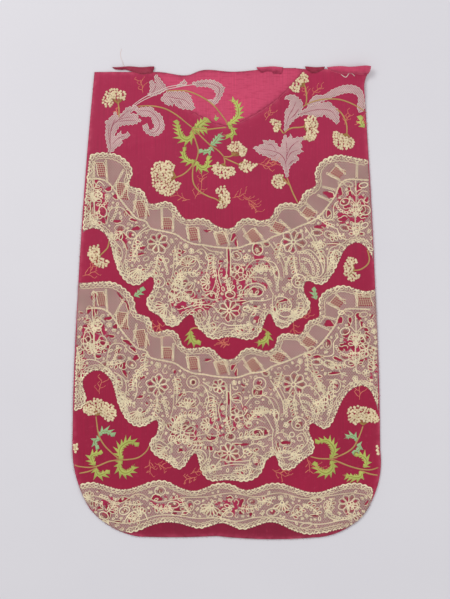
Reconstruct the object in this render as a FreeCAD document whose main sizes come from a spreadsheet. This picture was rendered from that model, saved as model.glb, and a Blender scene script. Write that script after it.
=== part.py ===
import FreeCAD, Part
import math
import os
import Sketcher

# One half of a Roman, or fiddleback, chasuble lying flat with its right side up:
# +X to the right, +Y towards the neck, +Z out of the cloth, millimetres.
# From the underside up it is a stack: lining, interlining, the brocaded silk with its
# pieced neck insert, and the brocading yarns that float on the face of the silk.

Vector = FreeCAD.Vector
Z_UP = Vector(0, 0, 1)

doc = FreeCAD.newDocument("chasuble")
sheet = doc.addObject("Spreadsheet::Sheet", "Sheet")

# Corners of the silk panel, named as a pattern cutter walks round it, and the thicknesses.
CELLS = [
    ("shoulder_left_x", -269), ("shoulder_left_y", 471),
    ("hip_left_x", -304), ("hip_left_y", 0),
    ("flare_left_x", -314), ("flare_left_y", -290),
    ("turn_left_x", -278), ("turn_left_y", -421),
    ("hem_left_x", -180), ("hem_left_y", -477),
    ("hem_centre_x", -20), ("hem_centre_y", -476),
    ("hem_right_x", 180), ("hem_right_y", -479),
    ("turn_right_x", 278), ("turn_right_y", -434),
    ("flare_right_x", 314), ("flare_right_y", -300),
    ("hip_right_x", 305), ("hip_right_y", 0),
    ("underarm_right_x", 281), ("underarm_right_y", 440),
    ("shoulder_right_x", 294), ("shoulder_right_y", 477),
    ("neck_right_x", 159), ("neck_right_y", 477),
    ("neck_centre_x", 0), ("neck_centre_y", 360),
    ("neck_left_x", -145), ("neck_left_y", 471),
    ("lining_inset", 3),
    ("interlining_inset", 12),
    ("lining_thickness", 0.4),
    ("interlining_thickness", 0.8),
    ("silk_thickness", 0.8),
    ("net_thickness", 0.3),
    ("cord_thickness", 0.5),
    ("cord_width", 5),
    ("loop_length", 9),
    ("loop_pitch", 13),
    ("leaf_thickness", 0.4),
    ("floret_thickness", 0.8),
    ("stem_width", 3),
    ("stitch_length", 3),
    ("stitch_pitch", 8),
    ("stitch_thickness", 0.6),
    ("loose_thread_diameter", 0.6),
]
for row, (alias, value) in enumerate(CELLS, start=1):
    sheet.set(f"A{row}", alias)
    sheet.set(f"B{row}", str(value))
    sheet.setAlias(f"B{row}", alias)
# Levels of the stack, worked out in the sheet from the thicknesses.
LEVELS = [
    ("interlining_floor", "=lining_thickness"),
    ("silk_floor", "=lining_thickness + interlining_thickness"),
    ("silk_face", "=lining_thickness + interlining_thickness + silk_thickness"),
    ("net_face", "=silk_face + net_thickness"),
    ("ground", "0"),
]
for row, (alias, formula) in enumerate(LEVELS, start=len(CELLS) + 1):
    sheet.set(f"A{row}", alias)
    sheet.set(f"B{row}", formula)
    sheet.setAlias(f"B{row}", alias)
doc.recompute()


def size(alias):
    """The value of one cell of the sheet."""
    return float(getattr(sheet, alias))


def corner(name):
    """A named corner of the silk panel, in its own plane."""
    return Vector(size(name + "_x"), size(name + "_y"), 0)


def bowed(start, end, bow):
    """An arc from start to end that bows to the left of the way by bow, or a line."""
    if bow == 0:
        return Part.LineSegment(start, end)
    along = end - start
    left = Z_UP.cross(along).normalize()
    return Part.Arc(start, start + along * 0.5 + left * bow, end)


def curve(points):
    """A smooth curve through hand-placed points."""
    spline = Part.BSplineCurve()
    spline.interpolate([Vector(x, y, 0) for x, y in points])
    return spline


def face_of(edges):
    """The flat face inside a closed run of curves."""
    return Part.Face(Part.Wire([edge.toShape() for edge in edges]))


# ---- Flat pieces as bodies ------------------------------------------------------------

def xy_plane(body):
    """The body's own XY plane."""
    return [f for f in body.Origin.OriginFeatures if f.Role == "XY_Plane"][0]


def end_nearest(sketch, geometry, point):
    """Which end of a sketch curve, 1 or 2, lies at the point."""
    gap = (sketch.getPoint(geometry, 1) - point).Length
    return 1 if gap < 0.01 else 2


def cut_piece(name, curves, floor, thickness, pins=()):
    """A flat piece of cloth: a closed sketch of curves at a level, padded upwards.

    pins are pairs (corner name, index of the curve that starts there); each is held
    at its cells of the sheet."""
    body = doc.addObject("PartDesign::Body", name)
    body.Label = name
    sketch = body.newObject("Sketcher::SketchObject", name + "_outline")
    sketch.AttachmentSupport = [(xy_plane(body), "")]
    sketch.MapMode = "FlatFace"
    sketch.setExpression("AttachmentOffset.Base.z", f"Sheet.{floor}")
    starts = [c.value(c.FirstParameter) for c in curves]
    numbers = [sketch.addGeometry(c, False) for c in curves]
    for number, start, before in zip(numbers, starts, [numbers[-1]] + numbers[:-1]):
        here = end_nearest(sketch, number, start)
        there = end_nearest(sketch, before, start)
        sketch.addConstraint(Sketcher.Constraint("Coincident", before, there, number, here))
    for corner_name, index in pins:
        point = corner(corner_name)
        end = end_nearest(sketch, numbers[index], point)
        for direction, axis in (("DistanceX", "x"), ("DistanceY", "y")):
            value = getattr(point, axis)
            bound = Sketcher.Constraint(direction, -1, 1, numbers[index], end, value)
            made = sketch.addConstraint(bound)
            sketch.setExpression(f"Constraints[{made}]", f"Sheet.{corner_name}_{axis}")
    pad = body.newObject("PartDesign::Pad", name + "_cloth")
    pad.Profile = sketch
    pad.setExpression("Length", f"Sheet.{thickness}")
    body.Tip = pad
    return body


# The silk panel, walked from the left shoulder down, round the hem, up the right side
# and back along the top and the neck seam. The last figure is how far each edge bows.
PANEL_EDGES = [
    ("shoulder_left", "hip_left", -3), ("hip_left", "flare_left", -2),
    ("flare_left", "turn_left", -10), ("turn_left", "hem_left", -10),
    ("hem_left", "hem_centre", -2), ("hem_centre", "hem_right", -5),
    ("hem_right", "turn_right", -11), ("turn_right", "flare_right", -14),
    ("flare_right", "hip_right", -2), ("hip_right", "underarm_right", -2),
    ("underarm_right", "shoulder_right", 3), ("shoulder_right", "neck_right", 0),
    ("neck_right", "neck_centre", 17), ("neck_centre", "neck_left", 19),
    ("neck_left", "shoulder_left", 0),
]
panel_curves = [bowed(corner(a), corner(b), bow) for a, b, bow in PANEL_EDGES]
panel_pins = [(edge[0], index) for index, edge in enumerate(PANEL_EDGES)]
cut_piece("main_panel", panel_curves, "silk_floor", "silk_thickness", panel_pins)

# The paler patch pieced into the neck: the same seam, and its own uneven top edge.
neck_top = [(159, 477), (112, 479), (60, 475), (0, 472), (-58, 472), (-72, 466), (-110, 467), (-145, 471)]
insert_curves = [
    bowed(corner("neck_left"), corner("neck_centre"), -19),
    bowed(corner("neck_centre"), corner("neck_right"), -17),
    curve(neck_top),
]
insert_pins = [("neck_left", 0), ("neck_centre", 1), ("neck_right", 2)]
cut_piece("neck_insert", insert_curves, "silk_floor", "silk_thickness", insert_pins)


def inset_outline(inset):
    """The panel's outline with the neck filled, each corner moved in by the inset."""
    def moved(name):
        point = corner(name)
        return Vector(point.x - math.copysign(inset, point.x),
                      point.y - (math.copysign(inset, point.y) if point.y else 0), 0)
    sides = [bowed(moved(a), moved(b), bow) for a, b, bow in PANEL_EDGES[:11]]
    top = Part.LineSegment(moved("shoulder_right"), moved("shoulder_left"))
    return sides + [top]


cut_piece("interlining", inset_outline(size("interlining_inset")), "interlining_floor",
          "interlining_thickness")
cut_piece("lining", inset_outline(size("lining_inset")), "ground", "lining_thickness")

# ---- Lace pattern: a net ground in each band, with scalloped edges ----------------------

UPPER_LACE_TOP = [
    (-279, 302), (-240, 306), (-220, 301), (-200, 286), (-192, 262), (-198, 241), (-172, 230),
    (-156, 203), (-135, 205), (-118, 206), (-100, 190), (-85, 172), (-60, 172), (-40, 170),
    (-18, 156), (15, 155), (28, 168), (50, 172), (70, 168), (92, 176), (100, 192), (128, 204),
    (146, 203), (160, 226), (182, 240), (181, 258), (192, 286), (222, 301), (256, 298), (289, 292),
]
UPPER_LACE_FOOT = [
    (-293, 143), (-265, 151), (-245, 137), (-233, 105), (-220, 65), (-196, 38), (-176, 38),
    (-151, 53), (-150, 28), (-163, 4), (-154, -17), (-136, -28), (-122, -45), (-104, -48),
    (-86, -32), (-71, -24), (-63, -42), (-48, -60), (-32, -73), (0, -70), (32, -74), (56, -73),
    (72, -55), (80, -32), (87, -22), (102, -46), (118, -52), (138, -38), (160, -25), (171, 0),
    (159, 22), (164, 44), (190, 37), (214, 55), (232, 90), (250, 117), (267, 123), (286, 112),
    (300, 80),
]
LOWER_LACE_TOP = [
    (-301, 41), (-260, 43), (-228, 41), (-204, 26), (-187, 0), (-182, -20), (-157, -32),
    (-147, -58), (-118, -55), (-97, -68), (-86, -90), (-60, -92), (-28, -95), (-10, -112),
    (18, -112), (32, -98), (60, -93), (80, -98), (98, -90), (106, -69), (130, -63), (152, -63),
    (168, -38), (187, -30), (189, 5), (210, 28), (240, 35), (272, 26), (304, 28),
]
LOWER_LACE_FOOT = [
    (-310, -222), (-288, -184), (-293, -160), (-263, -138), (-238, -154), (-226, -186),
    (-214, -222), (-184, -252), (-160, -248), (-143, -240), (-142, -266), (-156, -284),
    (-146, -310), (-124, -322), (-96, -340), (-76, -320), (-64, -307), (-54, -334), (-32, -363),
    (2, -362), (44, -364), (70, -348), (86, -318), (98, -312), (112, -338), (132, -340),
    (156, -321), (178, -303), (176, -280), (169, -262), (173, -246), (198, -257), (222, -232),
    (241, -192), (264, -172), (282, -170), (300, -190), (310, -224),
]
HEM_LACE_TOP = [
    (-300, -372), (-262, -368), (-215, -381), (-165, -369), (-128, -363), (-90, -379),
    (-60, -383), (-20, -369), (10, -371), (40, -382), (80, -371), (112, -369), (150, -381),
    (182, -387), (222, -376), (258, -368), (300, -381),
]
HEM_LACE_FOOT = [
    (-222, -463), (-190, -468), (-160, -457), (-125, -448), (-90, -452), (-50, -460), (-5, -450),
    (28, -462), (65, -454), (96, -448), (130, -462), (165, -472), (215, -466), (245, -459),
]


def lace_band(name, top, foot, bow_left, bow_right):
    """A band of net between two scalloped edges, and the cord loops that follow them."""
    ends = [Vector(x, y, 0) for x, y in (top[0], foot[0], foot[-1], top[-1])]
    outline = [
        bowed(ends[0], ends[1], -bow_left), curve(foot),
        bowed(ends[2], ends[3], -bow_right), curve(list(reversed(top))),
    ]
    cut_piece(name + "_net", outline, "silk_face", "net_thickness")
    feature(name + "_cord", Part.Compound(loop_chain(outline[1]) + loop_chain(outline[3])))


def loop_chain(scallops):
    """A chain of flat oval loops of cord just inside a scalloped edge."""
    edge = scallops.toShape()
    count = int(edge.Length / size("loop_pitch"))
    marks = edge.discretize(Number=2 * count + 1)
    loops = []
    for first, middle, last in zip(marks[0::2], marks[1::2], marks[2::2]):
        along = (last - first).normalize()
        oval = Part.Ellipse(Vector(), size("loop_length") / 2, size("cord_width") / 2)
        loop = Part.Face(Part.Wire([oval.toShape()])).extrude(Z_UP * size("cord_thickness"))
        loop.rotate(Vector(), Z_UP, math.degrees(math.atan2(along.y, along.x)))
        loop.translate(middle + Z_UP.cross(along) * size("cord_width") + Z_UP * size("net_face"))
        loops.append(loop)
    return loops


def feature(name, shape):
    """A piece whose shape is made with Part's own functions."""
    made = doc.addObject("Part::Feature", name)
    made.Label = name
    made.Shape = shape
    made.Placement = FreeCAD.Placement()
    return made


lace_band("upper_lace", UPPER_LACE_TOP, UPPER_LACE_FOOT, 1, 1)
lace_band("lower_lace", LOWER_LACE_TOP, LOWER_LACE_FOOT, 1, 2)
lace_band("hem_lace", HEM_LACE_TOP, HEM_LACE_FOOT, 14, 14)
doc.recompute()

# ---- Brocaded sprays: each yarn floats on the face of the silk --------------------------

STEMS = [
    ((-175, 402), (-110, 381), (-66, 352)), ((-116, 433), (-55, 424), (-2, 366)),
    ((-66, 352), (-32, 354), (0, 356)), ((-64, 350), (-38, 318), (4, 290)),
    ((-66, 352), (-58, 312), (-66, 282)), ((-66, 282), (-60, 236), (-26, 216)),
    ((-66, 284), (-80, 264), (-98, 256)), ((114, 344), (132, 356), (160, 357)),
    ((155, 400), (215, 417), (272, 395)), ((228, 400), (245, 377), (244, 352)),
    ((146, 206), (132, 232), (120, 256)), ((-218, 376), (-219, 392), (-220, 407)),
    ((162, 402), (163, 420), (158, 436)), ((-250, 98), (-238, 108), (-240, 132)),
    ((265, 66), (286, 78), (290, 104)), ((-264, -236), (-265, -258), (-257, -276)),
    ((-257, -276), (-244, -292), (-226, -308)), ((-160, -289), (-184, -318), (-228, -322)),
    ((-226, -321), (-262, -336), (-308, -331)), ((-262, -338), (-284, -347), (-302, -348)),
    ((277, -243), (268, -284), (228, -312)), ((182, -314), (240, -325), (304, -339)),
    ((262, -340), (284, -350), (300, -353)), ((-72, -64), (-68, -53), (-58, -55)),
    ((80, -66), (76, -55), (66, -57)),
]
# Leaves: root x, y, length, greatest width, direction in degrees.
SILVER_LEAVES = [
    (-236, 312, 88, 38, 66), (-232, 318, 46, 18, 42), (-176, 398, 52, 16, -28),
    (-136, 372, 44, 16, -118), (-122, 428, 60, 24, -34), (-132, 424, 40, 18, 112),
    (-108, 443, 92, 12, 6), (-10, 446, 46, 16, -112), (122, 262, 78, 20, 96),
    (116, 300, 60, 26, 162), (126, 298, 50, 26, 48), (119, 338, 84, 26, 84),
    (150, 394, 82, 30, -6), (164, 406, 96, 12, 24), (254, 448, 50, 18, -66),
]
THISTLE_LEAVES = [
    (-74, 326, 44, 18, 122), (-58, 358, 36, 18, 34), (6, 366, 50, 20, 68), (2, 338, 26, 14, 40),
    (-34, 326, 28, 14, 52), (-30, 314, 26, 12, 196), (-68, 290, 38, 18, 134),
    (-60, 276, 34, 18, 12), (279, 352, 22, 10, 102), (-172, 12, 20, 14, 96),
    (181, 8, 24, 14, 116), (-70, -64, 22, 20, -70), (82, -66, 22, 20, -96),
    (-252, -270, 34, 12, 20), (-258, -280, 22, 10, -120), (-224, -300, 48, 20, 26),
    (-222, -328, 44, 20, -22), (-270, -330, 30, 12, 120), (-262, -344, 26, 14, -40),
    (268, -280, 34, 12, 150), (270, -290, 22, 10, -80), (228, -306, 46, 20, 128),
    (226, -322, 42, 20, -140), (280, -330, 30, 12, 84), (270, -346, 26, 14, -110),
]
# Flower heads: centre x, y, half width, half height.
UMBELS = [
    (-228, 423, 20, 16), (-125, 255, 28, 34), (-4, 213, 14, 24), (24, 316, 20, 15),
    (-4, 268, 22, 14), (42, 279, 16, 11), (152, 452, 14, 16), (101, 362, 10, 10),
    (174, 354, 13, 24), (238, 335, 22, 16), (107, 247, 12, 16), (-262, 94, 20, 22),
    (255, 74, 16, 22), (-258, -213, 32, 20), (277, -222, 28, 18), (-307, -290, 4, 10),
    (307, -297, 5, 10),
]
# Coral sprigs: foot x, y, and the direction they branch in, in degrees.
SPRIGS = [
    (-168, 420, 100), (-50, 240, 90), (-72, 206, 160), (36, 212, 20), (60, 202, 340),
    (64, 282, 350), (84, 378, 60), (172, 420, 40), (248, 372, 30), (-290, 62, 20),
    (-139, -52, 280), (0, -84, 90), (144, -48, 60), (-260, -172, 90), (272, -184, 90),
    (-150, -338, 270), (-70, -342, 200), (92, -334, 330), (176, -328, 200),
]
SPRIG_TWIGS = [(0, 16), (38, 13), (-38, 13)]
# How far each stem stops short of the one it springs from.
STEM_GAP = 3


def stem_strip(start, via, end, width):
    """A flat strip of even width along the arc through three points, short of its ends."""
    arc = Part.Arc(*[Vector(*point, 0) for point in (start, via, end)]).toShape()
    marks = (STEM_GAP, arc.Length / 2, arc.Length - STEM_GAP)
    points = [arc.valueAt(arc.getParameterByLength(mark)) for mark in marks]
    circle = arc.Curve
    sides = []
    for radius in (circle.Radius - width / 2, circle.Radius + width / 2):
        share = radius / circle.Radius
        sides.append([circle.Center + (point - circle.Center) * share for point in points])
    inner, outer = sides
    return face_of([
        Part.Arc(*inner),
        Part.LineSegment(inner[2], outer[2]),
        Part.Arc(*reversed(outer)),
        Part.LineSegment(outer[0], inner[0]),
    ])


def leaf_face(x, y, length, width, direction):
    """A pointed leaf between two arcs, from its root along a direction in degrees."""
    turn = math.radians(direction)
    root = Vector(x, y, 0)
    tip = root + Vector(math.cos(turn), math.sin(turn), 0) * length
    return face_of([bowed(root, tip, width / 2), bowed(tip, root, width / 2)])


def umbel_face(x, y, half_width, half_height):
    """A flat oval pad under a flower head."""
    flat = half_width >= half_height
    oval = Part.Ellipse(Vector(), max(half_width, half_height), min(half_width, half_height))
    face = Part.Face(Part.Wire([oval.toShape()]))
    if not flat:
        face.rotate(Vector(), Z_UP, 90)
    face.translate(Vector(x, y, 0))
    return face


def sprig_face(x, y, direction):
    """Three thin twigs that fork from one foot."""
    twigs = []
    for turn, length in SPRIG_TWIGS:
        twig = Part.makePlane(length, size("stitch_thickness"))
        twig.rotate(Vector(), Z_UP, direction + turn)
        twig.translate(Vector(x, y, 0))
        twigs.append(twig)
    return twigs[0].fuse(twigs[1:]).removeSplitter()


def brocaded(name, faces, thickness, under):
    """Yarn floats of one colour: flat faces raised on the silk, clear of what is under."""
    joined = faces[0].fuse(faces[1:]).removeSplitter()
    joined.translate(Z_UP * size("silk_face"))
    raised = Part.Compound([face.extrude(Z_UP * thickness) for face in joined.Faces])
    for other in under:
        raised = raised.cut(other)
    return feature(name, Part.Compound([s for s in raised.Solids if s.Volume > 1])).Shape


laid = []
laid.append(brocaded("vine_stems", [stem_strip(*stem, size("stem_width")) for stem in STEMS],
                     size("net_thickness"), laid))
laid.append(brocaded("silver_leaves", [leaf_face(*leaf) for leaf in SILVER_LEAVES],
                     size("leaf_thickness"), laid))
laid.append(brocaded("thistle_leaves", [leaf_face(*leaf) for leaf in THISTLE_LEAVES],
                     size("leaf_thickness"), laid))
laid.append(brocaded("umbel_florets", [umbel_face(*umbel) for umbel in UMBELS],
                     size("floret_thickness"), laid))
laid.append(brocaded("coral_sprigs", [sprig_face(*sprig) for sprig in SPRIGS],
                     size("net_thickness"), laid))

# ---- Turned edges, sewing threads and loose threads ------------------------------------

# Turnings left when the shoulder seams were unpicked: ends in x, inner and outer y, height.
TURNINGS = {
    "left_shoulder_turning": (-232, -147, 464, 482, 3.6),
    "neck_turning": (62, 116, 466, 482, 2.6),
    "right_shoulder_knot": (161, 201, 466, 482, 4.4),
    "right_shoulder_roll": (206, 294, 462, 482, 9),
}


def turning(x_start, x_end, y_inner, y_outer, height):
    """An allowance folded back on itself: two layers and a round fold, open inwards."""
    cloth = size("silk_thickness")
    outer, inner = height / 2, height / 2 - cloth
    floor = size("silk_face")
    y_round = y_outer - outer
    z_round = floor + outer

    def at(y, z):
        return Vector(x_start, y, z)

    section = [
        Part.LineSegment(at(y_inner, floor), at(y_round, floor)),
        Part.Arc(at(y_round, floor), at(y_outer, z_round), at(y_round, floor + height)),
        Part.LineSegment(at(y_round, floor + height), at(y_inner, floor + height)),
        Part.LineSegment(at(y_inner, floor + height), at(y_inner, floor + height - cloth)),
        Part.LineSegment(at(y_inner, floor + height - cloth), at(y_round, z_round + inner)),
        Part.Arc(at(y_round, z_round + inner), at(y_round + inner, z_round), at(y_round, z_round - inner)),
        Part.LineSegment(at(y_round, z_round - inner), at(y_inner, floor + cloth)),
        Part.LineSegment(at(y_inner, floor + cloth), at(y_inner, floor)),
    ]
    return face_of(section).extrude(Vector(x_end - x_start, 0, 0))


for name, figures in TURNINGS.items():
    feature(name, turning(*figures))


def stitch_row(arc, aside, floor, height):
    """Short stitches in a row along an arc, set aside to its left."""
    stitches = []
    count = int(arc.length() / size("stitch_pitch"))
    for number in range(count):
        share = (number + 0.5) / count
        at = arc.parameterAtDistance(arc.length() * share, arc.FirstParameter)
        along = arc.tangent(at)[0]
        left = Z_UP.cross(along)
        stitch = Part.makeBox(size("stitch_length"), size("stitch_thickness"), height)
        stitch.rotate(Vector(), Z_UP, math.degrees(math.atan2(along.y, along.x)))
        stitch.translate(arc.value(at) + left * aside + Z_UP * floor)
        stitches.append(stitch)
    return stitches


stitch_height = size("net_thickness")
seam_rows = []
for arc in insert_curves[:2]:
    seam_rows += stitch_row(arc, 5, size("silk_face"), stitch_height)
clear = [s for s in seam_rows if all(s.distToShape(other)[0] > 0.2 for other in laid)]
feature("neck_seam_stitches", Part.Compound(clear))

# Tacking between silk and lining, in the margin that the interlining leaves free.
tacking = []
for arc in panel_curves[:10]:
    side = 6 if Z_UP.cross(arc.tangent(arc.FirstParameter)[0]).dot(arc.value(arc.FirstParameter)) < 0 else -6
    tacking += stitch_row(arc, side, size("interlining_floor"), size("interlining_thickness"))
feature("edge_tacking", Part.Compound(tacking))

# Broken silk ends along the right side, from the armhole down to the hip.
FRAY_LENGTHS = [4, 6, 3, 5, 7, 4]
frays = []
right_side = panel_curves[9]
for number in range(24):
    share = (number + 1) / 26
    at = right_side.parameterAtDistance(right_side.length() * share, right_side.FirstParameter)
    fray = Part.makeBox(FRAY_LENGTHS[number % len(FRAY_LENGTHS)], size("stitch_thickness"),
                        size("stitch_thickness"))
    fray.translate(right_side.value(at) + Z_UP * size("silk_floor"))
    frays.append(fray.cut(doc.getObject("main_panel").Shape))
feature("edge_frays", Part.Compound([solid for fray in frays for solid in fray.Solids]))

# A loose thread that falls from the left turning and lies on the surface behind it.
LOOSE_THREAD = [
    (-209, 482.4, 3.6), (-209.6, 485.6, 2.6), (-210.8, 489.0, 1.2), (-212.4, 493.4, 0.4),
    (-214.8, 499.2, 0.3), (-216.4, 505.6, 0.3), (-216.0, 512.4, 0.3), (-213.8, 518.4, 0.3),
]
ARC_SHARE = 0.45


def rounded_route(points):
    """Straight runs joined by tangent arcs, each as large as its two runs allow."""
    points = [Vector(*point) for point in points]
    edges, here = [], points[0]
    for before, point, after in zip(points, points[1:], points[2:]):
        arrive, leave = (point - before), (after - point)
        reach = ARC_SHARE * min(arrive.Length, leave.Length)
        half_turn = arrive.getAngle(leave) / 2
        radius = reach / math.tan(half_turn)
        print("loose thread: bend radius", round(radius, 2), "mm")
        arrive.normalize()
        leave.normalize()
        first, last = point - arrive * reach, point + leave * reach
        inward = (leave - arrive).normalize()
        middle = point + inward * (radius / math.cos(half_turn) - radius)
        edges.append(Part.LineSegment(here, first).toShape())
        edges.append(Part.Arc(first, middle, last).toShape())
        here = last
    edges.append(Part.LineSegment(here, points[-1]).toShape())
    return Part.Wire(edges)


def tube(route, diameter):
    """A round tube along a route, its volume compared with section times length."""
    start = route.Edges[0]
    along = start.tangentAt(start.FirstParameter)
    ring = Part.makeCircle(diameter / 2, start.valueAt(start.FirstParameter), along)
    solid = route.makePipeShell([Part.Wire([ring])], True, False)
    expected = math.pi * (diameter / 2) ** 2 * route.Length
    print("loose thread:", round(route.Length, 1), "mm long, volume ratio",
          round(solid.Volume / expected, 3))
    return solid


feature("loose_thread", tube(rounded_route(LOOSE_THREAD), size("loose_thread_diameter")))

# ---- Check every object, then write each piece -----------------------------------------

doc.recompute()
for item in doc.Objects:
    if "Invalid" in item.State or "Error" in item.State:
        raise RuntimeError(f"{item.Name} did not recompute: {item.State}")
pieces = [o for o in doc.Objects if o.TypeId in ("PartDesign::Body", "Part::Feature")]
for piece in pieces:
    if piece.Shape.isNull() or not piece.Shape.isValid() or not piece.Shape.Solids:
        raise RuntimeError(f"{piece.Label} has no valid solid")
os.makedirs("parts", exist_ok=True)
for piece in pieces:
    piece.Shape.exportStep(f"parts/{piece.Label}.step")
print(len(pieces), "pieces written")
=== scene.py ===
import math
import random

import bmesh
import bpy
import numpy as np
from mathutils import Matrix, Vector, geometry


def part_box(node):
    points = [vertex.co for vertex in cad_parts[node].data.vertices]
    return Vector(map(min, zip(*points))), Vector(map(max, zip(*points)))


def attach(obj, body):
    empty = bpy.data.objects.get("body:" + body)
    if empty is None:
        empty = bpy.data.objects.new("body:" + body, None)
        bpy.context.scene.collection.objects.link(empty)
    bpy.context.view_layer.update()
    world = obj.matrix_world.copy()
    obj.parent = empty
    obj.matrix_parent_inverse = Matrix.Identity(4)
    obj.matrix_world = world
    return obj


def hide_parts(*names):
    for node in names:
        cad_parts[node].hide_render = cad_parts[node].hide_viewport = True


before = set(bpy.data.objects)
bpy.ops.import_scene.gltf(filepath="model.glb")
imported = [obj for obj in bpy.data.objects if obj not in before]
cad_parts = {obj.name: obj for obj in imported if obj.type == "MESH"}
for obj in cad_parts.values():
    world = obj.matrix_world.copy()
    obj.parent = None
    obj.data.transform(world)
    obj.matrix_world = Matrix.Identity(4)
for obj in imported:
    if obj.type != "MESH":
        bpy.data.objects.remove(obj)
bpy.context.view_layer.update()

bl_info = {
    "name": "Fiddleback chasuble half",
    "version": (1, 0, 0),
    "blender": (4, 5, 0),
    "location": "View3D > Sidebar > Chasuble",
    "description": "Lays out one brocaded half of a fiddleback chasuble, piece by piece",
    "category": "Add Mesh",
}

CM = 0.01
MM = 0.001
CORNERS = ((-1, -1), (1, -1), (1, 1), (-1, 1))
LINING_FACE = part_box("lining")[1].z
INTERLINING_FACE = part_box("interlining")[1].z
SILK_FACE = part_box("main_panel")[1].z
NET_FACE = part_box("upper_lace_net")[1].z


class ChasubleSettings(bpy.types.PropertyGroup):
    """Sizes and colours that a user would change."""
    ripple: bpy.props.FloatProperty(
        name="Ripple", description="Height of the soft waves in the laid cloth",
        default=0.8 * MM, min=0.0, unit="LENGTH")
    corner_lift: bpy.props.FloatProperty(
        name="Corner lift", description="How far the right shoulder corner curls up",
        default=10 * MM, min=0.0, unit="LENGTH")
    cord_width: bpy.props.FloatProperty(
        name="Cord width", description="Width of an outlining cord of the lace",
        default=2.4 * MM, min=0.1 * MM, unit="LENGTH")
    mesh_pitch: bpy.props.FloatProperty(
        name="Mesh pitch", description="Spacing of the threads of the lace's net ground",
        default=4 * MM, min=0.5 * MM, unit="LENGTH")
    tuft_size: bpy.props.FloatProperty(
        name="Tuft size", description="Width of one cream tuft of a flower head",
        default=5.5 * MM, min=1 * MM, unit="LENGTH")
    crimson: bpy.props.FloatVectorProperty(
        name="Crimson", description="Ground colour of the silk near the hem",
        subtype="COLOR_GAMMA", default=(0.60, 0.02, 0.215), min=0.0, max=1.0)
    # Painted sheen: a paler crimson for the upper part of the panel, standing in for the light falling on the
    # silk there.
    sheen_paled_crimson: bpy.props.FloatVectorProperty(
        name="Sheen paled crimson", description="Ground colour of the silk near the shoulders",
        subtype="COLOR_GAMMA", default=(0.64, 0.105, 0.27), min=0.0, max=1.0)
    patch: bpy.props.FloatVectorProperty(
        name="Neck patch", description="Colour of the paler patch in the neck",
        subtype="COLOR_GAMMA", default=(0.79, 0.26, 0.40), min=0.0, max=1.0)
    net: bpy.props.FloatVectorProperty(
        name="Net", description="Colour of the threads of the net ground",
        subtype="COLOR_GAMMA", default=(0.70, 0.58, 0.545), min=0.0, max=1.0)
    cord: bpy.props.FloatVectorProperty(
        name="Cord", description="Colour of the outlining cords",
        subtype="COLOR_GAMMA", default=(0.98, 0.93, 0.78), min=0.0, max=1.0)


def settings():
    """The scene's settings."""
    return bpy.context.scene.chasuble


# ---- How the cloth lies -----------------------------------------------------------------

# Soft creases in the silk: start x, y, end x, y, width and height, in centimetres.
CREASES = [
    (0.3, 21, 0.3, 15, 0.5, 0.05), (0.2, -37, 0.2, -47.5, 0.5, 0.06), (-20.5, 31.8, -13, 33.8, 0.5, 0.06),
    (-13, 33.6, -9, 32.4, 0.4, 0.04), (18.5, 38.4, 22, 36.3, 0.4, 0.06),
    (-24, 46.9, -14, 46.2, 0.5, 0.10), (-12, 44.8, 8, 45.6, 0.5, 0.04), (-6, 43.2, 9, 42.6, 0.5, 0.03),
    (-26, 45.2, -16, 44.6, 0.8, 0.07), (17, -38.4, 23, -37.0, 0.5, 0.05),
    (-26, -37.2, -18, -38.2, 0.5, 0.04), (-31, -30, -29, -40, 0.7, 0.08), (2, 22.5, 12, 25.5, 0.7, 0.04),
    (-30, 8, -24, 3, 0.7, 0.04),
]


# Where the right corner begins to lift, the span over which it rises, and the height on the
# panel of the dip in front of its roll.
LIFT_FROM = (0.19, 0.37)
LIFT_SPAN = (0.10, 0.098)
ROLL_FOOT = 0.453


def relief(x, y, creased=True):
    """Height of the laid cloth above flat at x, y in metres (numbers or arrays)."""
    x, y = np.asarray(x, float), np.asarray(y, float)
    wave = np.sin(9.1 * x + 4.3 * y + 0.6) + np.sin(-6.2 * x + 11.7 * y + 2.1)
    height = settings().ripple * (0.68 + 0.25 * wave)
    for ax, ay, bx, by, width, rise in CREASES if creased else []:
        along = np.array([bx - ax, by - ay]) * CM
        share = ((x - ax * CM) * along[0] + (y - ay * CM) * along[1]) / (along @ along)
        share = np.clip(share, 0, 1)
        gap = np.hypot(x - ax * CM - share * along[0], y - ay * CM - share * along[1])
        height = height + 1.7 * rise * CM * np.exp(-(gap / (width * CM)) ** 2)
    reach_x = np.clip((x - LIFT_FROM[0]) / LIFT_SPAN[0], 0, 1)
    reach_y = np.clip((y - LIFT_FROM[1]) / LIFT_SPAN[1], 0, 1)
    valley = 1 - 0.5 * np.exp(-((y - ROLL_FOOT) / (8 * MM)) ** 2)
    return height + settings().corner_lift * reach_x ** 2 * reach_y ** 1.6 * valley


def smooth(points, closed=False, steps=5):
    """A curve, as points, through given points."""
    p = np.array(points, float)
    n = len(p)
    if n < 3:
        return np.linspace(p[0], p[-1], steps + 1)
    t = np.linspace(0, 1, steps, endpoint=False)[:, None]
    out = []
    for i in range(n if closed else n - 1):
        if closed:
            a, b, c, d = p[i - 1], p[i], p[(i + 1) % n], p[(i + 2) % n]
        else:
            a, b, c, d = p[max(i - 1, 0)], p[i], p[i + 1], p[min(i + 2, n - 1)]
        out.append(0.5 * (2 * b + (c - a) * t + (2 * a - 5 * b + 4 * c - d) * t ** 2
                          + (3 * b - a - 3 * c + d) * t ** 3))
    line = np.concatenate(out)
    return line if closed else np.vstack([line, p[-1]])


def lengths_along(line):
    """Distance of each point of a line from its start."""
    steps = np.linalg.norm(np.diff(line, axis=0), axis=1)
    return np.concatenate([[0], np.cumsum(steps)])


def evenly(line, pitch):
    """The same line with its points an even pitch apart."""
    far = lengths_along(line)
    marks = np.linspace(0, far[-1], max(2, int(round(far[-1] / pitch)) + 1))
    return np.column_stack([np.interp(marks, far, line[:, k]) for k in range(line.shape[1])])


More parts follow.
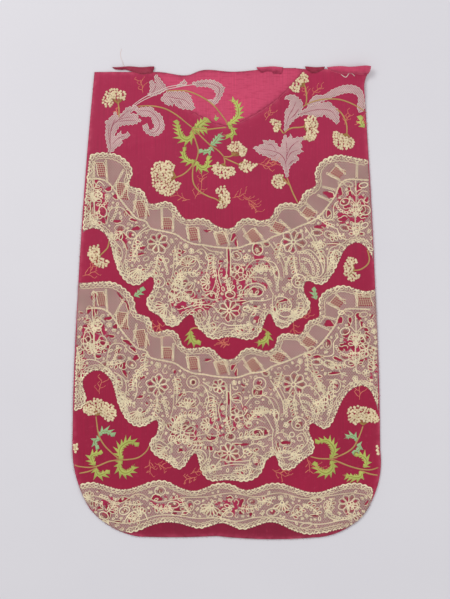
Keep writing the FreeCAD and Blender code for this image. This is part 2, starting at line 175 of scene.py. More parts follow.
def normals_of(line, closed=False):
    """Unit vectors to the left of a line at each of its points."""
    ahead = np.roll(line, -1, axis=0) - np.roll(line, 1, axis=0) if closed else np.gradient(line, axis=0)
    ahead /= np.maximum(np.linalg.norm(ahead, axis=1), 1e-9)[:, None]
    return np.column_stack([-ahead[:, 1], ahead[:, 0]])


def unit(arrow):
    """An arrow cut to a length of one."""
    return arrow / max(np.hypot(*arrow), 1e-9)


def facing(angle):
    """Unit vectors along a direction, given in radians, and to the left of it."""
    way = np.array([math.cos(angle), math.sin(angle)])
    return way, np.array([-way[1], way[0]])


def inside(points, outline):
    """Which points lie inside a closed outline."""
    points, a = np.asarray(points, float), np.asarray(outline, float)
    b = np.roll(a, -1, axis=0)
    slope = (b[:, 0] - a[:, 0]) / np.where(a[:, 1] == b[:, 1], 1, b[:, 1] - a[:, 1])
    held = np.zeros(len(points), bool)
    for first in range(0, len(points), 4000):
        x, y = points[first:first + 4000].T[:, :, None]
        crosses = (a[:, 1] > y) != (b[:, 1] > y)
        held[first:first + 4000] = np.sum(crosses & (x < slope * (y - a[:, 1]) + a[:, 0]), axis=1) % 2
    return held


def gap_to(points, line, closed=True):
    """Distance from each point to the nearest stretch of a line."""
    points, a = np.asarray(points, float), np.asarray(line, float)
    b = np.roll(a, -1, axis=0)
    if not closed:
        a, b = a[:-1], b[:-1]
    along = b - a
    size = np.maximum((along ** 2).sum(axis=1), 1e-12)
    best = np.empty(len(points))
    for first in range(0, len(points), 2000):
        away = points[first:first + 2000, None, :] - a
        share = np.clip((away * along).sum(axis=2) / size, 0, 1)
        gaps = np.hypot(away[..., 0] - share * along[:, 0], away[..., 1] - share * along[:, 1])
        best[first:first + 2000] = gaps.min(axis=1)
    return best


def outline_of(node):
    """The outline of a flat CAD node's upper face, anticlockwise from its leftmost point, in metres."""
    made = bmesh.new()
    made.from_mesh(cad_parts[node].data)
    bmesh.ops.remove_doubles(made, verts=made.verts, dist=1e-5)
    made.normal_update()
    top = max(v.co.z for v in made.verts)
    upper = {f for f in made.faces if f.normal.z > 0.9 and f.calc_center_median().z > top - 1e-4}
    follows = {}
    for face in upper:
        for loop in face.loops:
            if sum(f in upper for f in loop.edge.link_faces) == 1:
                follows[loop.vert] = loop.link_loop_next.vert
    start = min(follows, key=lambda vert: vert.co.xy[:])
    line, here = [start.co.xy[:]], follows[start]
    while here != start:
        line.append(here.co.xy[:])
        here = follows[here]
    made.free()
    return np.array(line)


def divided(outline, pitch):
    """The same closed outline with extra points on its long edges."""
    points = []
    for a, b in zip(outline, np.roll(outline, -1, axis=0)):
        steps = max(1, int(np.ceil(np.hypot(*(b - a)) / pitch)))
        points += [a + (b - a) * k / steps for k in range(steps)]
    return np.array(points)


def new_mesh(name, points, faces, edges=()):
    """A mesh from its points and faces, or its edges."""
    mesh = bpy.data.meshes.new(name)
    mesh.from_pydata(points, edges, faces)
    return mesh


def mesh_from(made, name):
    """A mesh from an edited one, which is then freed."""
    mesh = bpy.data.meshes.new(name)
    made.to_mesh(mesh)
    made.free()
    return mesh


def mark_points(mesh, label, values):
    """Stores one value for each point of a mesh, for its material to read."""
    store = mesh.attributes.new(label, "FLOAT", "POINT")
    store.data.foreach_set("value", np.asarray(values, np.float32))


def new_object(name, mesh):
    """A mesh as an object of the scene."""
    piece = bpy.data.objects.new(name, mesh)
    bpy.context.scene.collection.objects.link(piece)
    return piece


def finished(piece, slot, *nodes):
    """Shades a piece smooth, gives it its body and hides the CAD nodes that it stands for; the slot is not
    used.
    """
    for polygon in piece.data.polygons:
        polygon.use_smooth = True
    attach(piece, "root")
    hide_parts(*nodes)
    return piece


def plain_mesh(piece):
    """Applies a piece's modifiers to its mesh."""
    bpy.context.view_layer.update()
    solved = piece.evaluated_get(bpy.context.evaluated_depsgraph_get())
    mesh = bpy.data.meshes.new_from_object(solved)
    piece.modifiers.clear()
    piece.data = mesh
    return piece


def thickened(piece, thickness, offset):
    """A sheet given its thickness, below it for an offset of -1 and on both sides for 0."""
    wall = piece.modifiers.new("Thickness", "SOLIDIFY")
    wall.thickness = thickness
    wall.offset = offset
    return plain_mesh(piece)


def triangulated(outline, pitch, openings=()):
    """Points and anticlockwise triangles that fill an outline, clear of its openings."""
    low, high = outline.min(0), outline.max(0)
    xs = np.arange(math.floor(low[0] / pitch), high[0] / pitch + 1) * pitch
    ys = np.arange(math.floor(low[1] / pitch), high[1] / pitch + 1) * pitch
    inner = np.array(np.meshgrid(xs, ys)).reshape(2, -1).T
    inner = inner[inside(inner, outline)]
    inner = inner[gap_to(inner, outline) > 0.35 * pitch]
    rings = [outline, *openings]
    corners, edges = [], []
    for ring in rings:
        first = len(corners)
        corners += list(ring)
        edges += [(first + i, first + (i + 1) % len(ring)) for i in range(len(ring))]
    corners = np.array(corners + list(inner))
    solved = geometry.delaunay_2d_cdt([Vector(p) for p in corners], edges, [], 0, 1e-7)
    spots = np.array([v[:] for v in solved[0]])
    faces = np.array(solved[2])
    middles = spots[faces].mean(axis=1)
    kept = inside(middles, outline)
    for ring in openings:
        near = kept & np.all(middles > ring.min(0), axis=1) & np.all(middles < ring.max(0), axis=1)
        kept[np.flatnonzero(near)[inside(middles[near], ring)]] = False
    faces = faces[kept]
    a, b, c = spots[faces[:, 0]], spots[faces[:, 1]], spots[faces[:, 2]]
    turn = (b[:, 0] - a[:, 0]) * (c[:, 1] - a[:, 1]) - (b[:, 1] - a[:, 1]) * (c[:, 0] - a[:, 0])
    faces[turn < 0] = faces[turn < 0][:, ::-1]
    used = np.unique(faces)
    place = np.zeros(len(spots), int)
    place[used] = np.arange(len(used))
    return spots[used], place[faces]


SILK_THICKNESS = 0.8 * MM
FOLDED_THICKNESS = 0.6 * MM
NET_THICKNESS = 0.28 * MM
# How far from its edge the wear of a cloth, and the painted shade round the edges of the neck patch, fades.
EDGE_WEAR_AND_SHADE_REACH = 4 * MM


def laid_cloth(name, outline, face, thickness, pitch, material, openings=(), creased=True):
    """A sheet of cloth that lies with its upper side at a height, thickened downwards."""
    outline = divided(outline, pitch)
    spots, faces = triangulated(outline, pitch, openings)
    high = relief(spots[:, 0], spots[:, 1], creased) + face
    mesh = new_mesh(name, np.column_stack([spots, high]).tolist(), faces.tolist())
    mark_points(mesh, "worn", np.exp(-gap_to(spots, outline) / EDGE_WEAR_AND_SHADE_REACH))
    mesh.materials.append(material)
    return thickened(new_object(name, mesh), thickness, -1)


class Yarns:
    """Yarn laid on the cloth: strokes and filled shapes, gathered in one mesh."""

    def __init__(self, level):
        self.level = level
        self.points, self.faces, self.shades = [], [], []

    def add(self, points, faces, shade):
        """Adds a shape, whose faces count its own points from nought, in one shade."""
        base = len(self.points)
        self.points += [tuple(p) for p in points]
        self.faces += [tuple(base + i for i in face) for face in faces]
        self.shades += [shade] * len(points)

    def stroke(self, line, width, closed=False, shade=0.5, taper=0.0, rise=0.5):
        """A rounded yarn along a line of points in centimetres."""
        line = np.asarray(line, float) * CM
        n = len(line)
        if n < 2:
            return
        side = normals_of(line, closed)
        half = np.full(n, width / 2)
        half *= 1 - taper * np.abs(np.linspace(-1, 1, n)) ** 2
        base = relief(line[:, 0], line[:, 1]) + self.level
        ring = [(-1, -0.1), (-0.62, 0.75), (0, 1.05), (0.62, 0.75), (1, -0.1)]
        rows = [np.column_stack([line + side * (half * across)[:, None],
                                 base + up * half * 2 * rise]) for across, up in ring]
        k = len(ring)
        points = np.stack(rows, axis=1).reshape(-1, 3)
        faces = []
        for i in range(n if closed else n - 1):
            j = (i + 1) % n
            for s in range(k):
                r = (s + 1) % k
                faces.append((i * k + s, i * k + r, j * k + r, j * k + s))
        if not closed:
            faces.append(tuple(reversed(range(k))))
            faces.append(tuple((n - 1) * k + s for s in range(k)))
        self.add(points, faces, shade)

    def fill(self, outline, height=0.15 * MM, shade=0.5, pitch=0.8):
        """A flat filled shape inside a closed outline in centimetres."""
        outline = np.asarray(outline, float) * CM
        spots, faces = triangulated(outline, pitch * CM)
        top = relief(spots[:, 0], spots[:, 1]) + self.level + height
        upper = np.column_stack([spots, top])
        lower = upper - np.array([0, 0, height])
        n = len(upper)
        faces = [tuple(int(i) for i in face) for face in faces]
        edges = {(a, b) for face in faces for a, b in zip(face, face[1:] + face[:1])}
        rim = [(a, b) for a, b in edges if (b, a) not in edges]
        faces += [tuple(n + i for i in reversed(face)) for face in faces]
        faces += [(b, a, n + a, n + b) for a, b in sorted(rim)]
        self.add(np.vstack([upper, lower]), faces, shade)

    def piece(self, name, material):
        """Everything gathered so far, as one object."""
        mesh = new_mesh(name, self.points, self.faces)
        mark_points(mesh, "shade", self.shades)
        mesh.materials.append(material)
        return new_object(name, mesh)


# ---- Finishes ---------------------------------------------------------------------------

def linear(colour):
    """A screen colour as a linear one with full alpha."""
    return [((c + 0.055) / 1.055) ** 2.4 if c > 0.04045 else c / 12.92 for c in colour] + [1.0]


def add_node(tree, kind, options=None, **inputs):
    """A new node, with its options set and each input given a value or another node's socket."""
    made = tree.nodes.new(kind)
    for key, value in (options or {}).items():
        setattr(made, key, value)
    for key, value in inputs.items():
        plug(tree, made.inputs[key.replace("_", " ")], value)
    return made


def plug(tree, socket, value):
    """Gives an input a value, or a link from another node's socket."""
    if isinstance(value, bpy.types.NodeSocket):
        tree.links.new(value, socket)
    else:
        socket.default_value = value


# The scale at which a wave texture has its ridges one metre apart.
WAVE_SCALE = 0.314


class Finish:
    """A material built from procedural textures."""

    def __init__(self, name, roughness=0.6, sheen=0.0):
        self.material = bpy.data.materials.new(name)
        self.material.use_nodes = True
        self.tree = self.material.node_tree
        self.shader = self.tree.nodes["Principled BSDF"]
        self.shader.inputs["Sheen Weight"].default_value = sheen
        self.shader.inputs["Specular IOR Level"].default_value = 0.3
        self.shader.inputs["Roughness"].default_value = roughness
        self.place = self.node("ShaderNodeTexCoord").outputs["Object"]

    def node(self, kind, options=None, **inputs):
        """A new node of this material."""
        return add_node(self.tree, kind, options, **inputs)

    def scaled(self, x, y, z=1.0, turn=0.0):
        """Object coordinates, turned about Z and stretched."""
        made = self.node("ShaderNodeMapping", Vector=self.place, Scale=(x, y, z),
                         Rotation=(0, 0, turn))
        return made.outputs["Vector"]

    def noise(self, scale, detail=3.0, at=None):
        """Soft random values, finer for a larger scale."""
        made = self.node("ShaderNodeTexNoise", Vector=at or self.place, Scale=scale, Detail=detail)
        return made.outputs["Fac"]

    def waves(self, pitch, turn=0.0):
        """Parallel ridges a pitch apart, at an angle to X."""
        made = self.node("ShaderNodeTexWave", {"bands_direction": "X"},
                         Vector=self.scaled(1, 1, 1, turn), Scale=WAVE_SCALE / pitch)
        return made.outputs["Fac"]

    def ramp(self, factor, *stops):
        """A value or colour that follows another through stops."""
        made = self.node("ShaderNodeValToRGB", Fac=factor)
        bands = made.color_ramp.elements
        while len(bands) < len(stops):
            bands.new(0.5)
        for band, (spot, colour) in zip(bands, stops):
            band.position = spot
            band.color = colour if hasattr(colour, "__len__") else (colour, colour, colour, 1)
        return made.outputs["Color"]

    def mix(self, share, first, second, how="MIX"):
        """Two colours blended by a share."""
        made = self.node("ShaderNodeMixRGB", {"blend_type": how}, Fac=share, Color1=first,
                         Color2=second)
        return made.outputs["Color"]

    def maths(self, how, first, second):
        """Two values joined by a calculation."""
        made = self.node("ShaderNodeMath", {"operation": how})
        for socket, value in zip(made.inputs, (first, second)):
            plug(self.tree, socket, value)
        return made.outputs["Value"]

    def attribute(self, name):
        """A value stored on the points of the mesh."""
        return self.node("ShaderNodeAttribute", {"attribute_name": name}).outputs["Fac"]

    def colour(self, socket):
        """Sets the colour."""
        self.tree.links.new(socket, self.shader.inputs["Base Color"])

    def rough(self, socket):
        """Sets the roughness."""
        self.tree.links.new(socket, self.shader.inputs["Roughness"])

    def bump(self, height, strength, depth):
        """Raises the surface a little by a height."""
        made = self.node("ShaderNodeBump", Height=height, Strength=strength, Distance=depth)
        self.tree.links.new(made.outputs["Normal"], self.shader.inputs["Normal"])


RIB_PITCH = 0.9 * MM


def woven_silk(name, low, high, hem_shade_factor=0.72, streak=0.0, edge_wear_and_shade_tone=None):
    """Ribbed silk: painted shade darkens it along the hem and painted sheen pales it towards the shoulders;
    its edges are worn pale, or take painted shade from a dark edge tone.
    """
    made = Finish(name, 0.55, 0.08)
    height = made.node("ShaderNodeSeparateXYZ", Vector=made.place).outputs["Y"]
    up = made.node("ShaderNodeMapRange", Value=height, From_Min=-0.49, From_Max=0.48).outputs[0]
    # Painted shade: a darker strip along the hem, where the cloth turns away from the light.
    hem_shade_colour = [c * hem_shade_factor for c in low[:3]] + [1.0]
    # Painted sheen: the crimson pales towards the shoulders, where the light falls on it.
    ground = made.ramp(up, (0.0, hem_shade_colour), (0.045, hem_shade_colour), (0.09, low), (0.45, low), (0.85, high))
    cloudy = made.ramp(made.noise(7, 5), (0.3, 0.93), (0.7, 1.07))
    warp = made.ramp(made.noise(1, 2, made.scaled(900, 14)), (0.3, 0.9), (0.7, 1.1))
    ground = made.mix(1.0, ground, cloudy, "MULTIPLY")
    ground = made.mix(1.0, ground, warp, "MULTIPLY")
    fleck = made.ramp(made.noise(160, 4), (0.60, 0.0), (0.72, 1.0))
    pale = [min(1, c * 1.5 + 0.06) for c in high[:3]] + [1.0]
    ground = made.mix(made.maths("MULTIPLY", fleck, 0.12), ground, pale)
    if streak:
        lines = made.ramp(made.noise(1, 5, made.scaled(60, 330)), (0.50, 0.0), (0.68, 1.0))
        ground = made.mix(made.maths("MULTIPLY", lines, streak), ground, linear(settings().crimson))
    # Towards the edges the silk is mixed with the edge tone: pale for wear, or, where a dark edge tone is
    # given, painted shade along the seam.
    fray = made.ramp(made.noise(90), (0.35, 0.2), (0.7, 0.9))
    edge = made.maths("MULTIPLY", made.attribute("worn"), fray)
    made.colour(made.mix(edge, ground, edge_wear_and_shade_tone or pale))
    made.rough(made.ramp(made.noise(30), (0.3, 0.48), (0.7, 0.62)))
    slub = made.maths("MULTIPLY", made.noise(700, 2), 0.6)
    made.bump(made.maths("ADD", made.waves(RIB_PITCH, math.pi / 2), slub), 0.35, 0.2 * MM)
    return made.material


def crossed_weft(name, pitch, thread_colour, gap_colour, second_gap):
    """Openwork of crossed diagonal threads over the crimson, redder where it is open."""
    made = Finish(name, 0.7, 0.1)
    one = made.ramp(made.waves(pitch, math.radians(38)), (0.30, 0.0), (0.62, 1.0))
    two = made.ramp(made.waves(pitch, math.radians(-38)), (0.30, 0.0), (0.62, 1.0))
    thread = made.maths("MAXIMUM", one, two)
    patchy = made.ramp(made.noise(26, 4), (0.35, 0.0), (0.68, 1.0))
    worn = made.mix(patchy, linear(thread_colour), linear([c * 0.9 for c in thread_colour]))
    tint = made.ramp(made.noise(60, 3), (0.4, linear(gap_colour)), (0.65, linear(second_gap)))
    blotch = made.maths("ADD", made.noise(105, 3), made.maths("MULTIPLY", made.attribute("open"), 0.36))
    open_here = made.ramp(blotch, (0.77, 0.0), (0.81, 1.0))
    crimson = linear((0.66, 0.13, 0.29))
    made.colour(made.mix(open_here, made.mix(thread, tint, worn), crimson))
    made.bump(thread, 0.6, 0.3 * MM)
    return made.material


def yarn(name, dark, light, twist=1.1 * MM, sheen=0.2, second=None):
    """Twisted yarn whose tone follows the shade of each stroke."""
    made = Finish(name, 0.62, sheen)
    tone = made.attribute("shade")
    ground = made.ramp(tone, (0.0, dark), (1.0, light))
    if second:
        ground = made.ramp(tone, (0.0, dark), (0.5, light), (1.0, second))
    plies = made.waves(twist, math.radians(52))
    # Painted shade: the grooves between the plies are darkened towards the dark colour.
    ground = made.mix(made.ramp(plies, (0.0, 0.16), (0.5, 0.0)), ground, dark)
    cloudy = made.ramp(made.noise(45, 4), (0.3, 0.88), (0.7, 1.08))
    made.colour(made.mix(1.0, ground, cloudy, "MULTIPLY"))
    made.rough(made.ramp(made.noise(120), (0.3, 0.5), (0.7, 0.72)))
    made.bump(made.maths("ADD", plies, made.noise(900, 2)), 0.5, 0.25 * MM)
    return made.material


def plain_weave(name, colour, pitch):
    """Plain linen: threads over and under, slubs and a little soiling."""
    made = Finish(name, 0.85, 0.15)
    weave = made.maths("MULTIPLY", made.waves(pitch), made.waves(pitch, math.pi / 2))
    slub = made.ramp(made.noise(1, 3, made.scaled(40, 900)), (0.35, 0.85), (0.7, 1.05))
    ground = made.mix(1.0, linear(colour), slub, "MULTIPLY")
    ground = made.mix(made.ramp(made.noise(12, 5), (0.45, 0.0), (0.8, 0.4)), ground,
                      linear([c * 0.8 for c in colour]))
    made.colour(ground)
    made.rough(made.ramp(made.noise(60), (0.3, 0.8), (0.7, 0.92)))
    made.bump(weave, 0.5, 0.25 * MM)
    return made.material


# ---- Repeats: small pieces set along paths or scattered on faces --------------------------

def node_group(name, inputs):
    """An empty geometry node group with named inputs, and its input and output nodes."""
    tree = bpy.data.node_groups.new(name, "GeometryNodeTree")
    tree.interface.new_socket("Geometry", in_out="INPUT", socket_type="NodeSocketGeometry")
    for label, kind in inputs:
        tree.interface.new_socket(label, in_out="INPUT", socket_type="NodeSocket" + kind)
    tree.interface.new_socket("Geometry", in_out="OUTPUT", socket_type="NodeSocketGeometry")
    return tree, tree.nodes.new("NodeGroupInput"), tree.nodes.new("NodeGroupOutput")


def placed_copies(tree, given, points, rotation):
    """Ends a tree: copies of the small piece on the points, realized and given a material."""
    shape = add_node(tree, "GeometryNodeObjectInfo", Object=given.outputs["Small piece"])
    size = add_node(tree, "FunctionNodeRandomValue", {"data_type": "FLOAT"},
                    Min=given.outputs["Smallest"], Max=1.1, Seed=given.outputs["Seed"])
    copies = add_node(tree, "GeometryNodeInstanceOnPoints", Points=points,
                      Instance=shape.outputs["Geometry"], Rotation=rotation,
                      Scale=size.outputs["Value"])
    tone = add_node(tree, "FunctionNodeRandomValue", {"data_type": "FLOAT"},
                    Min=0.6, Seed=given.outputs["Seed"])
    toned = add_node(tree, "GeometryNodeStoreNamedAttribute", {"data_type": "FLOAT", "domain": "INSTANCE"},
                     Name="shade", Geometry=copies.outputs["Instances"], Value=tone.outputs["Value"])
    real = add_node(tree, "GeometryNodeRealizeInstances", Geometry=toned.outputs["Geometry"])
    coat = add_node(tree, "GeometryNodeSetMaterial", Geometry=real.outputs["Geometry"],
                    Material=given.outputs["Material"])
    return coat.outputs["Geometry"]


# Copies tried on a square metre before those too near each other are dropped.
MOST_TUFTS = 400000

COPY_INPUTS = [
    ("Spacing", "Float"), ("Small piece", "Object"), ("Smallest", "Float"), ("Turn", "Float"),
    ("Seed", "Int"), ("Material", "Material"),
]


def along_tree():
    """Copies of a small piece at an even spacing along every path."""
    tree, given, out = node_group("set along a path", COPY_INPUTS)
    path = add_node(tree, "GeometryNodeMeshToCurve", Mesh=given.outputs["Geometry"])
    marks = add_node(tree, "GeometryNodeResampleCurve", {"mode": "LENGTH"},
                     Curve=path.outputs["Curve"], Length=given.outputs["Spacing"])
    tangent = add_node(tree, "GeometryNodeInputTangent")
    turned = add_node(tree, "FunctionNodeAlignRotationToVector", {"axis": "X", "pivot_axis": "Z"},
                      Vector=tangent.outputs["Tangent"])
    both = add_node(tree, "FunctionNodeRotateRotation", {"rotation_space": "LOCAL"},
                    Rotation=turned.outputs["Rotation"], Rotate_By=random_turn(tree, given))
    done = placed_copies(tree, given, marks.outputs["Curve"], both.outputs["Rotation"])
    plug(tree, out.inputs["Geometry"], done)
    return tree


def random_turn(tree, given):
    """A random turn about the upright, as large as the tree's Turn input."""
    less = add_node(tree, "ShaderNodeMath", {"operation": "MULTIPLY"})
    plug(tree, less.inputs[0], given.outputs["Turn"])
    plug(tree, less.inputs[1], -1)
    angle = add_node(tree, "FunctionNodeRandomValue", {"data_type": "FLOAT"}, Min=less.outputs["Value"],
                     Max=given.outputs["Turn"], Seed=given.outputs["Seed"])
    return add_node(tree, "ShaderNodeCombineXYZ", Z=angle.outputs["Value"]).outputs["Vector"]


def scatter_tree():
    """Copies of a small piece scattered on faces, no nearer than a spacing."""
    tree, given, out = node_group("scattered on faces", COPY_INPUTS)
    spread = add_node(tree, "GeometryNodeDistributePointsOnFaces", {"distribute_method": "POISSON"})
    for label, value in (("Density Max", MOST_TUFTS), ("Mesh", given.outputs["Geometry"]),
                         ("Distance Min", given.outputs["Spacing"]), ("Seed", given.outputs["Seed"])):
        plug(tree, spread.inputs[label], value)
    done = placed_copies(tree, given, spread.outputs["Points"], random_turn(tree, given))
    plug(tree, out.inputs["Geometry"], done)
    return tree


def grown(name, tree, mesh, small, material, spacing, smallest=0.9, turn=0.0, seed=1):
    """A plain mesh of small pieces that a tree sets on a mesh."""
    piece = new_object(name, mesh)
    changer = piece.modifiers.new("Repeat", "NODES")
    changer.node_group = tree
    values = {"Spacing": spacing, "Small piece": small, "Smallest": smallest, "Turn": turn,
              "Seed": seed, "Material": material}
    for item in tree.interface.items_tree:
        if item.in_out == "INPUT" and item.name in values:
            changer[item.identifier] = values[item.name]
    plain_mesh(piece)
    bpy.data.objects.remove(small)
    if not piece.data.materials:
        piece.data.materials.append(material)
    return piece


def path_mesh(name, lines, level):
    """Open paths on the cloth, in metres, as a mesh of edges at a height."""
    points, edges = [], []
    for line in lines:
        first = len(points)
        high = relief(line[:, 0], line[:, 1]) + level
        points += np.column_stack([line, high]).tolist()
        edges += [(first + i, first + i + 1) for i in range(len(line) - 1)]
    return new_mesh(name, points, [], edges)


def small_tube(name, line, radius, sides=4, closed=False):
    """A little tube along a few points, to be repeated."""
    line = np.array(line, float)
    n = len(line)
    made = bmesh.new()
    rows = []
    for i, point in enumerate(line):
        ahead = line[(i + 1) % n] - line[i - 1] if closed or 0 < i < n - 1 else None
        if ahead is None:
            ahead = line[1] - line[0] if i == 0 else line[-1] - line[-2]
        ahead = Vector(ahead).normalized()
        across = ahead.cross(Vector((0, 0, 1))).normalized()
        up = across.cross(ahead)
        turns = [2 * math.pi * (s + 0.5) / sides for s in range(sides)]
        rows.append([made.verts.new(Vector(point) + (across * math.cos(t) + up * math.sin(t)) * radius)
                     for t in turns])
    for i in range(n if closed else n - 1):
        here, there = rows[i], rows[(i + 1) % n]
        for s in range(sides):
            r = (s + 1) % sides
            made.faces.new((here[s], here[r], there[r], there[s]))
    if not closed:
        made.faces.new(reversed(rows[0]))
        made.faces.new(rows[-1])
    bmesh.ops.recalc_face_normals(made, faces=made.faces)
    return new_object(name, mesh_from(made, name))


def oval_loop(length, width, radius):
    """A flat oval ring of cord."""
    turns = np.linspace(0, 2 * math.pi, 10, endpoint=False)
    line = np.column_stack([np.cos(turns) * length / 2, np.sin(turns) * width / 2, 0 * turns])
    return small_tube("loop", line, radius, 4, True)


def tuft():
    """One puff of a flower head: a low dome of a few faces."""
    made = bmesh.new()
    bmesh.ops.create_icosphere(made, subdivisions=2, radius=0.5)
    size = settings().tuft_size
    for vert in made.verts:
        bulge = 1 + 0.1 * math.sin(7 * vert.co.x + 5 * vert.co.y + 9 * vert.co.z)
        across, along = (0.5 * math.copysign(abs(2 * c) ** 0.62, c) for c in vert.co.xy)
        vert.co = Vector((across, along * 0.86, vert.co.z * 0.42)) * size * bulge
    return new_object("tuft", mesh_from(made, "tuft"))


# ---- Brocaded sprays: points in centimetres from the panel's middle ------------------------

STEMS = [
    [(-12.2, 43.2), (-10, 43.3), (-8, 43.2), (-6, 42.5), (-4, 41.4), (-2.5, 40.2), (-1, 38.4), (0, 37),
     (0.2, 36.2)],
    [(-18, 40.1), (-16, 40.2), (-14, 40), (-12, 39.4), (-10, 38.2), (-8, 36.6), (-7, 35.8)],
    [(-7, 35.6), (-3.8, 35.4), (-2, 35.6), (0, 35.8)],
    [(-7, 35.6), (-6.4, 33.5), (-5.9, 32), (-5.7, 31), (-5.9, 29.8), (-6.3, 28.8)],
    [(-6.4, 35.2), (-4.8, 33.6), (-3.3, 32.2), (-1.6, 31), (-0.5, 29.8)],
    [(-0.5, 29.8), (0.6, 29.8), (1.3, 30.1)], [(-0.5, 29.7), (-0.3, 28.8), (-0.4, 28.2)],
    [(-0.3, 29.5), (1, 28.9), (2.6, 28.2)], [(-6.5, 28.6), (-7.6, 27.2), (-8.8, 26.2), (-10.2, 25.6)],
    [(-6.7, 28.4), (-6.9, 26), (-6.6, 24.2), (-5.4, 22.7), (-3.6, 21.7), (-2.2, 21.2), (-1.5, 20.7)],
    [(-21.9, 37.8), (-21.9, 39.5), (-22.1, 41)],
    [(15.6, 40), (17, 40.8), (19, 41.4), (21, 41.6), (23, 41.5), (25, 40.9), (27, 39.9), (28.2, 39.1)],
    [(22.4, 39.6), (23.4, 38.8), (24.2, 37.5), (24.6, 36), (24.6, 34.4)],
    [(11.9, 34.6), (12.4, 35.2), (13.5, 35.7), (15, 35.8), (16, 36)],
    [(11.7, 34.5), (11.2, 35.2), (10.8, 35.7)], [(14.6, 20.4), (13.6, 22.4), (12.9, 24.2), (12.4, 25.5)],
    [(12.8, 24), (12, 25), (11.6, 25.4)], [(16.2, 40.5), (16.4, 41.5), (16.3, 43), (16, 44.4)],
    [(-25.6, 9.8), (-25, 10.4), (-24.2, 11.3), (-23.9, 12.8)],
    [(26, 6.6), (27.4, 6.8), (28.8, 7.8), (29.2, 9), (28.8, 10.8)],
    [(-26.6, -23.2), (-26.4, -24.8), (-26.2, -26.2), (-25.8, -27.6), (-24.8, -29.2), (-23.4, -30.6),
     (-22, -31.8)],
    [(-15.6, -29), (-16.4, -30.4), (-18, -31.6), (-20, -32), (-22, -32.1), (-24, -32.4), (-26.2, -33.3),
     (-28, -33.6), (-30, -33.4), (-30.9, -33.1)], [(-26.4, -33.6), (-28, -34.4), (-30, -34.8)],
    [(27.9, -25.2), (27.4, -26.6), (26.8, -28), (26, -29.4), (24.8, -30.4), (23.2, -31.2), (21.2, -31.9)],
    [(17.2, -31.4), (19, -31.8), (21.2, -31.9), (23, -32.5), (25, -33.3), (27.2, -33.9), (29.4, -34.1),
     (31, -33.6)], [(27.6, -34.3), (29.2, -34.9), (30.9, -35.2)],
    [(-5.2, -5.4), (-6.2, -5.1), (-7.2, -5.4), (-7.4, -6)],
    [(6.4, -5.4), (7.2, -5.3), (8, -5.6), (8.4, -6.2)],
]
# Where stems fan out into a flower head: root x, y, head x, y and spread, in centimetres.
FAN_OUTS = [
    (-10.2, 25.6, -12, 26, 1.6), (-1.5, 20.7, 0, 21.6, 1.4), (-22.1, 40.6, -22.2, 42, 1.4),
    (-0.4, 28.4, -0.8, 27.4, 1.2), (1.2, 30, 2.2, 31, 1.2), (2.4, 28.2, 3.8, 28, 1.0),
    (10.9, 35.6, 10.2, 36, 0.9), (15.8, 36, 17, 36, 1.4), (24.6, 34.6, 24.1, 33.2, 1.4),
    (11.8, 25.2, 10.9, 25, 1.2), (-25.6, 9.8, -26.6, 9.6, 1.5), (26.2, 6.6, 25.2, 6.8, 1.4),
    (-26.6, -23, -26.2, -21.6, 2.0), (27.9, -25, 28, -23, 2.2), (16, 44.2, 15.2, 45, 1.0),
]
